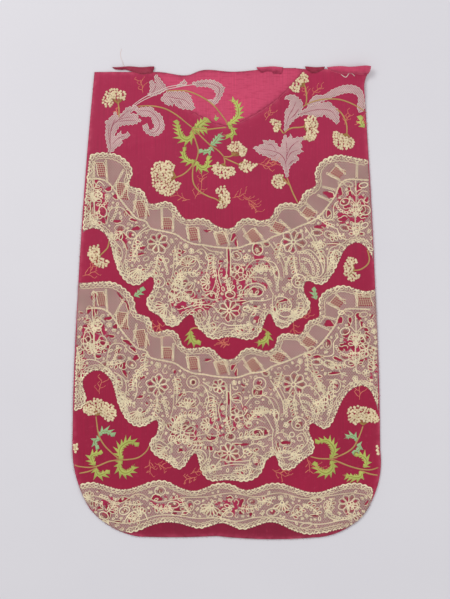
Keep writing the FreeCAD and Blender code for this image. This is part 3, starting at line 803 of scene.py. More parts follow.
# Thistle leaves: (width, tone, spine from root to tip). Tone 0 is green and 1 bluish.
THISTLE_LEAVES = [
    (1.3, 0, [(-7, 35.2), (-7, 34), (-8, 33.2), (-9.2, 33.8), (-9.6, 35), (-10, 36.9)]),
    (1.6, 0.1, [(-6.4, 35.7), (-5.2, 36.6), (-4.2, 37.4)]),
    (1.1, 0, [(-7, 35.6), (-5, 35.4), (-3.6, 35.3)]),
    (1.1, 0.2, [(0.2, 36.3), (1.2, 37), (2.3, 38), (2.5, 39.2), (2.2, 40.4), (1.6, 41.2), (0.8, 41.3)]),
    (0.9, 0, [(0.4, 36.1), (1.3, 35.4), (1.5, 34.6), (0.8, 34), (-0.3, 34.2)]),
    (1.1, 1, [(-3.2, 32.2), (-2.4, 32.8), (-1.8, 33.6), (-1, 34.6)]),
    (0.9, 1, [(-3, 32), (-3.3, 31.2), (-4, 30.8), (-5.3, 31.1)]),
    (1.1, 0, [(-6.4, 29), (-7.4, 28.8), (-8.4, 29.4), (-8.8, 30.4), (-8.4, 31.4)]),
    (1.2, 0.1, [(-6.1, 28.9), (-5.7, 27.9), (-4.8, 27.4), (-3.9, 27.9), (-3.8, 29.6)]),
    (0.6, 0.4, [(-2.1, 37.1), (-2.1, 37.6), (-2.2, 38.1)]),
    (0.9, 0.3, [(28.2, 35.8), (27.6, 36.7), (27.5, 37.8)]),
    (0.9, 1, [(-18.8, 1.4), (-17.8, 2), (-17.2, 2.9)]), (0.9, 1, [(18.4, 0.7), (18.1, 1.6), (18, 2.8)]),
    (1.4, 0, [(-7.3, -5.7), (-7.2, -7), (-6.6, -8.1), (-5.6, -8)]),
    (1.2, 0, [(8.4, -5.8), (8.4, -7.2), (7.6, -8), (6.2, -8.1)]),
    (1.0, 1, [(-25.9, -27.2), (-25.4, -26.4), (-24.5, -26.2), (-23.2, -27)]),
    (0.9, 1, [(-25.7, -27.9), (-26.6, -27.9), (-26.9, -28.6), (-26.2, -29.4)]),
    (1.3, 0,
     [(-21.2, -32), (-21.8, -30.8), (-21.6, -29.6), (-20.6, -28.7), (-19.4, -28.3), (-18.3, -29)]),
    (1.3, 0,
     [(-21.3, -32.2), (-21.9, -33.2), (-21.6, -34.3), (-20.6, -34.8), (-19.4, -34.3), (-18.8, -33.1)]),
    (1.2, 0.1, [(-26.8, -33.2), (-27.4, -32.2), (-27.6, -31.4), (-26.8, -30.9), (-25.6, -30.7)]),
    (1.2, 0.1, [(-26.6, -33.7), (-26.5, -34.6), (-25.8, -35.2), (-24.2, -34.4)]),
    (0.9, 1, [(26.6, -28.4), (26.4, -27.6), (25.6, -27.1), (24.3, -27.6)]),
    (0.9, 1, [(26.6, -29), (27.3, -29.2), (27, -30), (26, -30.4)]),
    (1.3, 0, [(21.2, -31.8), (21.9, -30.8), (22, -29.8), (21.4, -28.8), (20.4, -28.1), (18.6, -28.5)]),
    (1.3, 0, [(21.3, -32.2), (21.8, -33.4), (21.2, -34.4), (20.2, -34.8), (19, -34.2), (18.2, -32.8)]),
    (1.1, 0.1, [(28, -33.6), (28.7, -32.6), (28.4, -31.8), (27.6, -31.2), (26.4, -31.1)]),
    (1.2, 0.1, [(27.2, -34.3), (27.6, -35.2), (26.8, -35.7), (25.6, -35.5), (24.1, -35.2)]),
]
# Flower heads as outlines.
FLOWER_HEADS = [
    [(-25.2, 40.8), (-25, 42), (-24, 43.5), (-22.5, 43.8), (-21, 43.2), (-20.4, 42.2), (-20.9, 41.4),
     (-22, 41.7), (-22.9, 41.5), (-23.2, 40.6), (-24, 40), (-24.8, 40.2)],
    [(-14.3, 28.7), (-12, 28.9), (-11, 28.3), (-10.4, 27.5), (-11.2, 26.9), (-11, 26.2), (-11.3, 25.4),
     (-10.6, 24.9), (-9.6, 24.6), (-9.4, 24), (-10, 23), (-10.8, 22.4), (-11.6, 21.9), (-13, 22.2),
     (-14, 22.8), (-15, 24), (-15.2, 25.5), (-15.2, 27), (-14.9, 27.8)],
    [(-2.9, 27.3), (-2.6, 28), (-1.8, 28.6), (-1, 27.9), (0.5, 27.6), (1.5, 27.6), (1.7, 26.6),
     (1.2, 25.8), (0, 25.3), (-1.2, 25.6), (-2.2, 26.2)],
    [(0.2, 31.6), (0.8, 32.4), (1.5, 32.9), (2.5, 32.8), (3.3, 32.2), (4.2, 31.4), (4, 30.5), (3.4, 30),
     (2.8, 30.1), (2.6, 30.9), (1.8, 31), (0.8, 31)],
    [(2.7, 27.6), (3, 28.6), (3.6, 29.1), (4.5, 29), (5.2, 28.5), (6.2, 28.3), (5.6, 27.7), (5, 27.1),
     (4.2, 26.7), (3.2, 27)],
    [(-2, 23), (-1.2, 23.8), (-0.2, 23.7), (0.3, 22.8), (0.8, 21.5), (0.6, 20.5), (-0.2, 19.6),
     (-1, 19.2), (-1.9, 19.6), (-1.2, 20.6), (-1.3, 21.6), (-1.9, 22.3)],
    [(13, 44), (13.4, 43.4), (14, 43), (14.8, 43.3), (15.1, 44.4), (15.7, 45), (16.7, 45.1), (16.6, 46.2),
     (16.1, 46.5), (15.5, 46.9), (14.9, 46.2), (14.3, 45.4), (13.6, 44.9)],
    [(9, 36.9), (9.6, 37.5), (10.4, 37.2), (11.1, 36.8), (11, 36.2), (10.7, 35.4), (10.3, 34.9),
     (9.8, 35.1), (9.7, 35.9), (9.3, 36.4)],
    [(16.2, 37.5), (17, 38.2), (18, 37.9), (18.5, 37), (18.7, 36.2), (18.3, 35.6), (18.7, 34.8),
     (18.3, 34.2), (18, 33.4), (17, 33), (16.2, 33.2), (15.8, 33.7), (16.2, 34.5), (16.6, 35.1),
     (16.2, 35.9), (16, 36.8)],
    [(21.7, 33.9), (22, 34.8), (22.9, 35), (23.5, 34.6), (24, 33.9), (24.9, 33.8), (25.8, 33.5),
     (26.3, 32.7), (25.7, 31.9), (24.8, 31.4), (23.6, 31.4), (22.6, 31.9), (21.9, 32.8)],
    [(9.5, 25.2), (10, 26), (10.9, 26.3), (11.6, 25.8), (11.4, 25), (12, 24.4), (11.5, 23.8),
     (10.8, 23.3), (10, 23.7), (9.4, 24.5)],
    [(-28.2, 10.2), (-28, 11.2), (-27.2, 11.6), (-26.4, 11.9), (-25.8, 11), (-26, 10.2), (-25.8, 9.2),
     (-24.8, 8.8), (-23.9, 8.2), (-24.6, 7.5), (-25.4, 7.2), (-26.6, 7.7), (-27.4, 8.6), (-28, 9.4)],
    [(24.2, 8.2), (24.6, 9), (25.4, 9.2), (26.2, 9), (26.6, 8.2), (25.9, 7.9), (25.8, 7.2), (25.8, 6.4),
     (26.4, 5.9), (27.2, 5.5), (26.4, 4.7), (25.6, 4.5), (24.8, 5), (24.1, 6), (24, 7.2)],
    [(-29.2, -22), (-28.8, -20.6), (-28, -20), (-27, -19.6), (-26, -19.7), (-24.8, -20.2), (-23.4, -20.8),
     (-22.6, -21.8), (-22.5, -22.9), (-23.2, -23.9), (-24, -24.2), (-24.8, -23.7), (-25.4, -22.9),
     (-26.6, -22.6), (-27.4, -22.9), (-28.4, -22.9)],
    [(24.8, -22.5), (25.2, -21.4), (26, -21.2), (27.3, -21), (28.8, -21.3), (30, -22), (30.8, -23),
     (31, -24.2), (29.6, -24.4), (28.4, -24.2), (27.2, -24.2), (26.2, -24.8), (25.2, -24.2), (25, -23.3)],
    [(-31, -28.7), (-30.5, -28.9), (-30.4, -29.6), (-30.6, -30.3), (-31, -30.4)],
    [(31, -29), (30.7, -29.3), (30.6, -30), (30.8, -30.7), (31, -30.8)],
]
# Silver leaves as outlines, each with the lines of its ribs.
SILVER_LEAVES = [
    [(-23.8, 30.6), (-24.2, 32), (-24.6, 34), (-24.4, 36.5), (-24.8, 37), (-24, 37.1), (-23.6, 37.9),
     (-23, 38), (-22.7, 39.1), (-22.3, 38), (-21.3, 38.5), (-20.8, 39.1), (-20.2, 39.8), (-19.2, 39.9),
     (-18.5, 40.3), (-18.2, 39.6), (-19.8, 38.9), (-19.8, 38.4), (-18.5, 38.5), (-17.9, 38),
     (-18.3, 37.6), (-17.3, 37.2), (-18.2, 36.9), (-18.4, 36.6), (-20, 36.4), (-21, 36.4), (-22, 36),
     (-22.6, 35), (-23, 33.9), (-22.8, 33.6), (-22, 34.5), (-21.4, 35), (-21.6, 34.3), (-20.6, 34.3),
     (-20, 34.9), (-19.8, 34), (-20.6, 33.6), (-21.8, 33.2), (-21.2, 33), (-21.4, 32.4), (-22.5, 31.8),
     (-23.3, 30.9)],
    [(-18.5, 39.6), (-17, 39.8), (-15.2, 39.9), (-14.6, 39), (-13.8, 38.6), (-13.2, 38), (-12.9, 37),
     (-12.6, 36.1), (-13, 35.2), (-13.4, 34.6), (-14.6, 34), (-15.6, 34.3), (-16.4, 34.8), (-17, 35.6),
     (-16.8, 36.3), (-16.2, 36.4), (-15.9, 36), (-16, 35.2), (-15.2, 35.2), (-14.4, 35.9), (-14.6, 36.3),
     (-15, 37), (-15.2, 38), (-15.8, 38.2), (-16.6, 38), (-17.4, 38.2), (-18.2, 38.8)],
    [(-16, 42.2), (-15.4, 43.2), (-15.6, 45.3), (-14.9, 45.2), (-14.5, 44.2), (-14.2, 44.8),
     (-14.6, 45.5), (-14.4, 46.6), (-13.4, 45.4), (-12.6, 44.4), (-12.2, 43.6), (-14, 42.6)],
    [(-13.4, 41.5), (-12.6, 41), (-12, 40.3), (-11.3, 40.5), (-11, 40.2), (-10.6, 41), (-10.2, 40.2),
     (-9.2, 39.7), (-8, 39.6), (-7, 39.4), (-6.5, 39.6), (-6.8, 40.6), (-7.3, 41.6), (-7.3, 42.3),
     (-8.6, 43), (-10.5, 43), (-12, 43.2)], [(-10.2, 44.1), (-8.5, 45.5), (-8, 44.6)],
    [(-7, 44.8), (-5, 45.3), (-3, 45.4), (-1.4, 44.8), (-0.4, 43.8), (-0.8, 42.8), (-1.4, 41.5),
     (-2.3, 40.4), (-3.8, 41.5), (-2.6, 41.3), (-1.9, 42.4), (-2.4, 43.6), (-4, 44.2), (-6, 44.2)],
    [(11.6, 27.8), (11, 28.8), (10.3, 29.1), (9.3, 29.2), (9.1, 29.7), (8.4, 29.8), (8.2, 30.2),
     (7.6, 30), (7.3, 30.5), (6.7, 30.5), (6.2, 31), (5.5, 31.8), (6.6, 31.8), (7.2, 32.3), (8, 32),
     (7.6, 32.8), (7.6, 33.3), (8.3, 32.8), (8.9, 33.2), (9.6, 33), (10.3, 32.2), (11, 31.2), (11.3, 32),
     (11.6, 33.2), (12, 34.4), (12.6, 33.1), (13.2, 34.5), (13.4, 33.3), (14.4, 33.7), (15.4, 33.7),
     (16, 33.5), (15.2, 33), (14.9, 32.6), (15.6, 31.9), (14.8, 31.6), (15.6, 30.9), (14.6, 30.5),
     (14, 29.9), (13.5, 29.9), (14.9, 29.5), (14.2, 28.9), (13.4, 28.4), (12.9, 27.8), (12.6, 27),
     (12.6, 26), (12.4, 25.5), (12, 26.5), (11.8, 27.4)],
    [(11.9, 35), (12, 37.5), (12.1, 39.2), (12.8, 39.8), (13, 40.6), (13.2, 41.3), (12.9, 41.5),
     (11.8, 41.7), (12.6, 42.3), (13.6, 42.4), (14.4, 42), (14.8, 41.4), (15.3, 41.4), (15.5, 40.6),
     (15.5, 39.8), (15, 38.8), (14.4, 38), (13.4, 37), (12.6, 36), (12.2, 35)],
    [(14.2, 37.8), (15, 38.2), (16.2, 38.5), (17.5, 38.3), (18.8, 38), (19.6, 38.2), (20, 38.7),
     (20.3, 38.2), (21, 37.8), (21.8, 37.4), (22.2, 36.8), (22.7, 36.5), (23, 37.2), (22.8, 38.2),
     (22.9, 38.8), (22.6, 39.6), (21.6, 40.2), (21.2, 40.9), (20, 40.8), (18.5, 40.6), (17, 40),
     (16, 39.4), (15, 38.9)],
]
SILVER_RIBS = [
    [(-23.6, 31.2), (-23.7, 33.5), (-23.4, 35.8), (-22.2, 37.2), (-20.4, 37.8), (-18.8, 37.9)],
    [(-23.5, 35), (-23.2, 36.4), (-22.6, 37.6)], [(-22.6, 36.6), (-21.4, 38), (-20, 39.2)],
    [(-22, 37), (-20.2, 37.2), (-18.4, 37.2)], [(-23.2, 32.4), (-22, 33.6), (-20.4, 34.1)],
    [(-23.8, 32.4), (-24, 34.6), (-23.9, 36.4)],
    [(-17.6, 39.2), (-15.8, 39.1), (-14.4, 38.1), (-13.6, 36.6), (-14, 35.3), (-15, 34.7), (-16.2, 35.4)],
    [(-15.3, 42.6), (-14.6, 43.6), (-14.2, 45.6)],
    [(-12.4, 42.2), (-10.6, 41.8), (-8.6, 41.4), (-7.3, 40.4)], [(-11.6, 41.6), (-10.9, 40.8)],
    [(-9.8, 41.4), (-9, 40.4)], [(-6, 44.7), (-3.6, 44.8), (-1.6, 44), (-1.4, 43), (-2, 41.6)],
    [(12.2, 26.6), (12.1, 28.6), (11.2, 30.2), (9.4, 31), (7, 31.4)],
    [(12.1, 28.6), (12.4, 30.8), (12.2, 33)], [(12.2, 28.8), (13.2, 30.6), (14.8, 31.2)],
    [(12.3, 29.8), (13.2, 31.8), (14.8, 33.1)], [(10.6, 30.6), (9.6, 29.9), (8.6, 30.4)],
    [(10.2, 31), (9.4, 32.2), (8.4, 32.3)], [(12.6, 28), (13.4, 28.9), (14.2, 29.2)],
    [(12.2, 36), (12.7, 38), (13.6, 39.6), (14.2, 41)], [(12.8, 37.4), (13.8, 38.2), (14.8, 39.6)],
    [(15, 38.5), (17.4, 39.2), (19.6, 39.5), (21.6, 39), (22.5, 37.6)],
]
# Pale double outlines of the scroll-like silver stems and leaves.
SILVER_LINES = [
    [(-19.5, 39.6), (-17.5, 41), (-15.5, 42), (-13.5, 42.8), (-12.2, 43.5), (-10, 44), (-8.4, 44.3),
     (-6, 44.6)],
    [(-19.2, 40.2), (-17.4, 41.5), (-15.6, 42.5), (-13.6, 43.3), (-12, 44), (-10, 44.4), (-8, 44.7)],
    [(23.4, 46.6), (24.4, 46), (25.2, 46.9), (26.2, 46.2)],
]
# Coral sprigs: foot x, y in centimetres, direction in degrees and size.
CORAL_SPRIGS = [
    (-17, 42.8, 100, 1), (-22, 40.2, 250, 0.6), (-5, 24, 90, 0.9), (-7.4, 20.9, 160, 1.2),
    (-6.4, 21.2, 60, 1.1), (1.2, 21.3, 20, 1.1), (3.4, 21.6, 330, 1.2), (4.6, 20.6, 310, 1),
    (6.4, 28.3, 350, 1.1), (7.8, 28.4, 10, 1), (8, 37.2, 60, 0.9), (16.4, 41.9, 100, 0.7),
    (17.4, 42.4, 40, 1), (24, 36.4, 60, 0.9), (26.2, 36.2, 30, 0.9), (-29.4, 5.4, 20, 1.2),
    (-27.8, 6.4, 60, 1), (-13.9, -3.6, 280, 1.2), (-13.4, -4.4, 200, 1), (-2, -8.4, 10, 0.9),
    (0.6, -8.6, 170, 0.9), (13.6, -4, 280, 1.1), (14.8, -3.4, 30, 1), (-26, -18.6, 80, 1.1),
    (27.2, -19.8, 90, 1.2), (-15.6, -32, 270, 1.1), (-14.6, -32.6, 330, 1), (-7.4, -34.8, 10, 1),
    (-6, -35.4, 200, 1), (9.4, -34, 330, 1.1), (10.8, -34.8, 20, 0.9), (16.6, -31.6, 280, 1.1),
    (17.6, -33.4, 340, 1),
]


def toothed_leaf(spine, width, seed):
    """A leaf about a curved spine, tapering to a point, with pointed lobes longest on the outer side."""
    line = evenly(smooth(spine), 0.36)
    side = normals_of(line)
    chance = random.Random(seed)
    last = len(line) - 1
    steps = np.diff(line, axis=0)
    bend = np.sum(steps[:-1, 0] * steps[1:, 1] - steps[:-1, 1] * steps[1:, 0])
    left, right = [], []
    for i in range(last):
        share = i / last
        half = width * (0.07 + 0.27 * math.sin(math.pi * min(1, 0.06 + share) ** 0.8))
        lean = unit(steps[i])
        for edge, way in ((left, 1), (right, -1)):
            if i % 2 == 0:
                edge.append(line[i] + way * side[i] * half * 0.7)
                continue
            reach = 0.2 + 0.5 * width * math.sin(math.pi * (0.15 + 0.7 * share))
            reach *= chance.uniform(0.75, 1.25)
            reach *= 1.25 if way * bend < 0 else 0.55
            edge.append(line[i] + way * side[i] * (half + reach) + lean * reach * 0.8)
    tip = line[-1] + (line[-1] - line[-2]) * 1.4
    return np.array(left + [tip] + right[::-1])


def ragged(outline, depth, seed):
    """A closed outline with small pointed teeth all round."""
    line = evenly(np.vstack([outline, outline[:1]]), 0.42)[:-1]
    chance = random.Random(seed)
    signed = np.sum(line[:, 0] * np.roll(line[:, 1], -1) - np.roll(line[:, 0], -1) * line[:, 1])
    push = np.array([depth * chance.uniform(0.5, 1.0) if i % 2 else -0.04 for i in range(len(line))])
    return line + normals_of(line, True) * push[:, None] * (-1 if signed > 0 else 1)


def wavering(line, size, seed):
    """A line with small soft bends, in centimetres."""
    far = lengths_along(line)
    sway = np.sin(far * 2.3 + seed) * 0.6 + np.sin(far * 5.1 + 2 * seed) * 0.4
    return line + normals_of(line) * (sway * size)[:, None]


def draw_stems():
    """Stems of the sprays, and the short stalks that fan out under the flower heads."""
    stems = Yarns(SILK_FACE)
    for line in STEMS:
        stems.stroke(evenly(smooth(line), 0.25), 3.3 * MM, shade=0.55, taper=0.25, rise=0.28)
    chance = random.Random(5)
    for x, y, head_x, head_y, spread in FAN_OUTS:
        across = unit(np.array([-(head_y - y), head_x - x])) * spread
        for step in np.linspace(-1, 1, 7):
            end = np.array([head_x, head_y]) + across * step + chance.uniform(-0.2, 0.2)
            line = smooth([(x, y), (np.array([x, y]) + end) / 2 + across * step * 0.12, end])
            stems.stroke(line, 2.2 * MM, shade=0.12 + 0.2 * chance.random(), taper=0.2, rise=0.25)
    return stems


def draw_thistles():
    """Toothed leaves with darker ribs."""
    leaves = Yarns(SILK_FACE)
    for number, (width, tone, spine) in enumerate(THISTLE_LEAVES):
        leaves.fill(toothed_leaf(spine, width, number), 0.35 * MM, 0.35 + 0.6 * tone)
        rib = evenly(smooth(spine), 0.2)
        leaves.stroke(rib, 1.5 * MM, shade=0.0, taper=0.7, rise=0.45)
        for way in (-1, 1):
            pale = rib + way * normals_of(rib) * width * 0.2
            leaves.stroke(pale, 1.3 * MM, shade=0.6 + 0.4 * tone, taper=0.8, rise=0.4)
    return leaves


# The long scroll leaf by the right shoulder, thin in the middle.
SCROLL_LEAF = [
    (16.6, 40.2), (18, 42.2), (19.8, 42.3), (21.6, 43.4), (24, 44.3), (26.2, 44.2), (27.6, 43.2),
    (28, 41.6), (28.2, 39.8), (27.2, 38.8), (26.8, 40), (27, 41.6), (26.4, 42.6), (24.6, 42.9),
    (22.4, 42.3), (20.2, 41.4), (18.4, 40.8),
]


def draw_silver():
    """Silver leaves: an openwork ground, and the pale outlines and crimson ribs on it."""
    ground, lines = Yarns(SILK_FACE), Yarns(SILK_FACE + 0.1 * MM)
    for number, outline in enumerate(SILVER_LEAVES):
        outline = ragged(np.array(outline), 0.24, number)
        ground.fill(outline, 0.2 * MM, 0.5, 0.6)
        lines.stroke(np.vstack([outline, outline[:1]]), 1.3 * MM, shade=1.0, rise=0.4)
    scroll = ragged(smooth(SCROLL_LEAF, True, 3), 0.14, 3)
    ground.fill(scroll, 0.2 * MM, 0.5, 0.6)
    lines.stroke(np.vstack([scroll, scroll[:1]]), 1.3 * MM, shade=1.0, rise=0.4)
    for rib in SILVER_RIBS:
        lines.stroke(evenly(smooth(rib), 0.25), 1.3 * MM, shade=0.0, taper=0.5, rise=0.4)
    for line in SILVER_LINES:
        lines.stroke(evenly(smooth(line), 0.25), 1.9 * MM, shade=0.85, taper=0.2, rise=0.35)
    return ground, lines


def draw_sprigs():
    """Fine forked coral twigs."""
    sprigs = Yarns(SILK_FACE)
    chance = random.Random(11)
    for x, y, direction, size in CORAL_SPRIGS:
        size *= 1.25
        turn = math.radians(direction)
        tip = np.array([x + math.cos(turn) * 2.2 * size, y + math.sin(turn) * 2.2 * size])
        twig = wavering(evenly(np.array([(x, y), tip]), 0.25), 0.14, x)
        sprigs.stroke(twig, 1.6 * MM, shade=0.7, taper=0.5, rise=0.3)
        for share, side in ((0.2, 1), (0.4, -1), (0.58, 1), (0.78, -1), (0.95, 1)):
            root = twig[int(share * (len(twig) - 1))]
            angle = turn + side * chance.uniform(0.6, 1.1)
            reach = size * chance.uniform(0.6, 1.1)
            end = root + reach * np.array([math.cos(angle), math.sin(angle)])
            side_twig = wavering(evenly(np.array([root, end]), 0.2), 0.12, y + share)
            sprigs.stroke(side_twig, 1.4 * MM, shade=0.4 + 0.5 * chance.random(), taper=0.6, rise=0.3)
            sprigs.stroke(evenly(np.array([end, end + chance.uniform(0.2, 0.5)]), 0.2), 1.0 * MM,
                          shade=0.8, rise=0.3)
    return sprigs


# ---- Lace pattern, in centimetres from the panel's middle -----------------------------------

# The lower edge of the band of openwork panels that follows a flounce's upper edge.
HEADING_FOOT = [
    (-28.6, 25.2), (-26, 25.3), (-24.2, 24.6), (-22.8, 23), (-21.4, 20.8), (-19.6, 18.6), (-18.2, 17.2),
    (-16.4, 16.6), (-15.4, 15.2), (-12.8, 14.6), (-10.4, 14), (-8.6, 12.8), (-6.6, 12), (-4.6, 11.8),
    (-2.4, 11.4), (0, 11.2), (2.4, 11.2), (4.8, 12), (7.6, 12.4), (9.4, 13.4), (11.6, 14.2), (13.4, 14.9),
    (15.4, 15.8), (17, 16.4), (18.4, 17.2), (19.8, 18.6), (21.2, 20.4), (22.3, 22), (22.8, 23.4),
    (23.6, 24.6), (25.2, 25.2), (29.4, 25),
]
# Twisted bars between the panels: start and end.
BARS = [
    (-27.1, 28.9, -27, 25.4), (-24.6, 29.2, -24.3, 24.8), (-20.9, 27.2, -22.9, 23.6),
    (-19.9, 24.6, -21.5, 21.4), (-18.3, 22.2, -18.9, 18.4), (-16.2, 20.3, -16.5, 17),
    (-13.2, 19.5, -13.1, 15.1), (-10.8, 18.2, -10.9, 14.5), (-8, 16, -7.7, 13), (-5.8, 15.5, -5.4, 12.3),
    (-2.3, 14.6, -1.7, 11.7), (-0.1, 14.6, 0.6, 11.7), (3.3, 15.2, 5, 12.3), (5.7, 15.3, 7.7, 12.6),
    (8.5, 16, 10.7, 14), (10.8, 17, 13, 15), (14.3, 19.2, 16.8, 16.8), (16.2, 20.4, 18.6, 18.2),
    (18.6, 22, 21.2, 20.8), (19.6, 23.7, 22.4, 23), (20.4, 26.5, 23.2, 25), (22.2, 28.4, 24.4, 26.2),
    (26.7, 28.9, 26.6, 25.5),
]
# Openwork panels with crossed bars: x, y, width, height, turn in degrees.
CHECKS = [
    (-25.5, 27.2, 1.0, 2.9, 0), (-21.2, 22.8, 1.3, 3.3, -8), (-17.3, 19.2, 1.3, 3.4, 6),
    (-12, 16.2, 1.2, 2.3, 0), (-6.8, 14.1, 1.3, 2.7, 6), (-1.1, 13.2, 1.2, 2.7, 14),
    (5.5, 13.6, 1.5, 2.7, 40), (10.6, 15.3, 1.3, 2.4, 62), (16.8, 18.3, 1.2, 2.4, 52),
    (22.6, 26.5, 1.4, 2.2, 48), (28.1, 27, 1.8, 2.6, 0),
]
# Flowers of petals about a middle: x, y, radius, petals, first and last direction.
FLOWERS = [
    (-14, 12.2, 2.4, 8, 10, 370), (13.7, 12.4, 2.6, 8, 20, 380), (0.6, -1.6, 2.3, 9, 0, 360),
    (-17.6, 7.2, 3.2, 7, 195, 300), (-9, 2.6, 2.8, 8, 0, 360), (7.1, 6.2, 1.9, 6, 20, 160),
    (-7.9, 7.7, 2.0, 6, 20, 160), (-12.2, -0.6, 2.6, 6, 150, 270), (-27.6, 13.4, 1.6, 5, 60, 180),
    (2.2, 6.2, 1.5, 6, 0, 360), (-3.6, 4.2, 1.8, 6, 90, 270), (19.2, 12.6, 1.5, 5, 200, 330),
]
# Rings: x, y, half length, half width, turn.
RINGS = [
    (-21.7, 15.2, 1.1, 0.7, 0), (-19.4, 13.9, 1.1, 0.8, -30), (18.5, 14.3, 1.2, 0.6, 0),
    (21, 13.9, 1.1, 0.7, -25), (24.1, 15.3, 1.0, 0.6, -20), (28.2, 15.8, 0.8, 0.5, 30),
    (28, 24, 0.9, 0.5, 10), (25, 24.2, 0.9, 0.5, -15), (23.4, 24.4, 0.6, 0.4, 0),
    (-13.8, 4.3, 1.3, 1.2, 0), (14.8, 4.4, 1.5, 1.4, 0), (-5.6, -2.5, 1.6, 1.6, 0),
    (6.3, -3.4, 1.6, 1.5, 0), (-13.8, 4.3, 0.5, 0.45, 0), (14.6, 4.0, 0.5, 0.4, 0),
    (-5.6, -2.6, 0.6, 0.55, 0), (2, -6, 1.0, 0.5, 0), (-13.9, 1.6, 0.6, 0.5, 0),
    (-15.2, 1.0, 0.5, 0.6, 0), (13.4, 2.2, 0.5, 0.5, 0), (15, 1.4, 0.5, 0.5, 0), (6.1, 2.3, 1.5, 1.1, 0),
    (0.8, 1.7, 1.0, 0.8, 0), (2.1, 9.6, 1.1, 0.9, -20), (6.4, 11, 1.1, 1.3, 0), (8.1, 12, 0.8, 0.6, 0),
    (-12.3, 8.6, 0.6, 0.5, 0), (12.2, 8.9, 0.5, 0.5, 0), (-26.3, 22, 1.0, 0.7, 0),
    (-24.6, 12.4, 0.9, 0.6, 30), (22.3, 9.4, 1.0, 1.4, -15), (-21.9, 10.2, 0.7, 1.4, 10),
    (-25.2, 18.6, 0.8, 1.1, 20), (-3.4, 9.4, 0.9, 0.6, 20), (10.2, 6.2, 0.5, 1.2, 15),
    (17.4, 16.8, 0.8, 0.7, 0), (4.6, 4.2, 0.6, 0.5, 0), (-6.8, 5.8, 0.6, 0.5, 0),
    (4.1, -1.2, 0.7, 0.5, 0), (-2.8, -4.6, 0.7, 0.5, 0), (28.3, 18.9, 1.1, 1.0, 0),
    (-28.4, 18.6, 0.8, 1.9, 0), (24.2, 20.6, 1.0, 0.7, 20), (20.6, 18, 0.9, 1.1, 0),
]
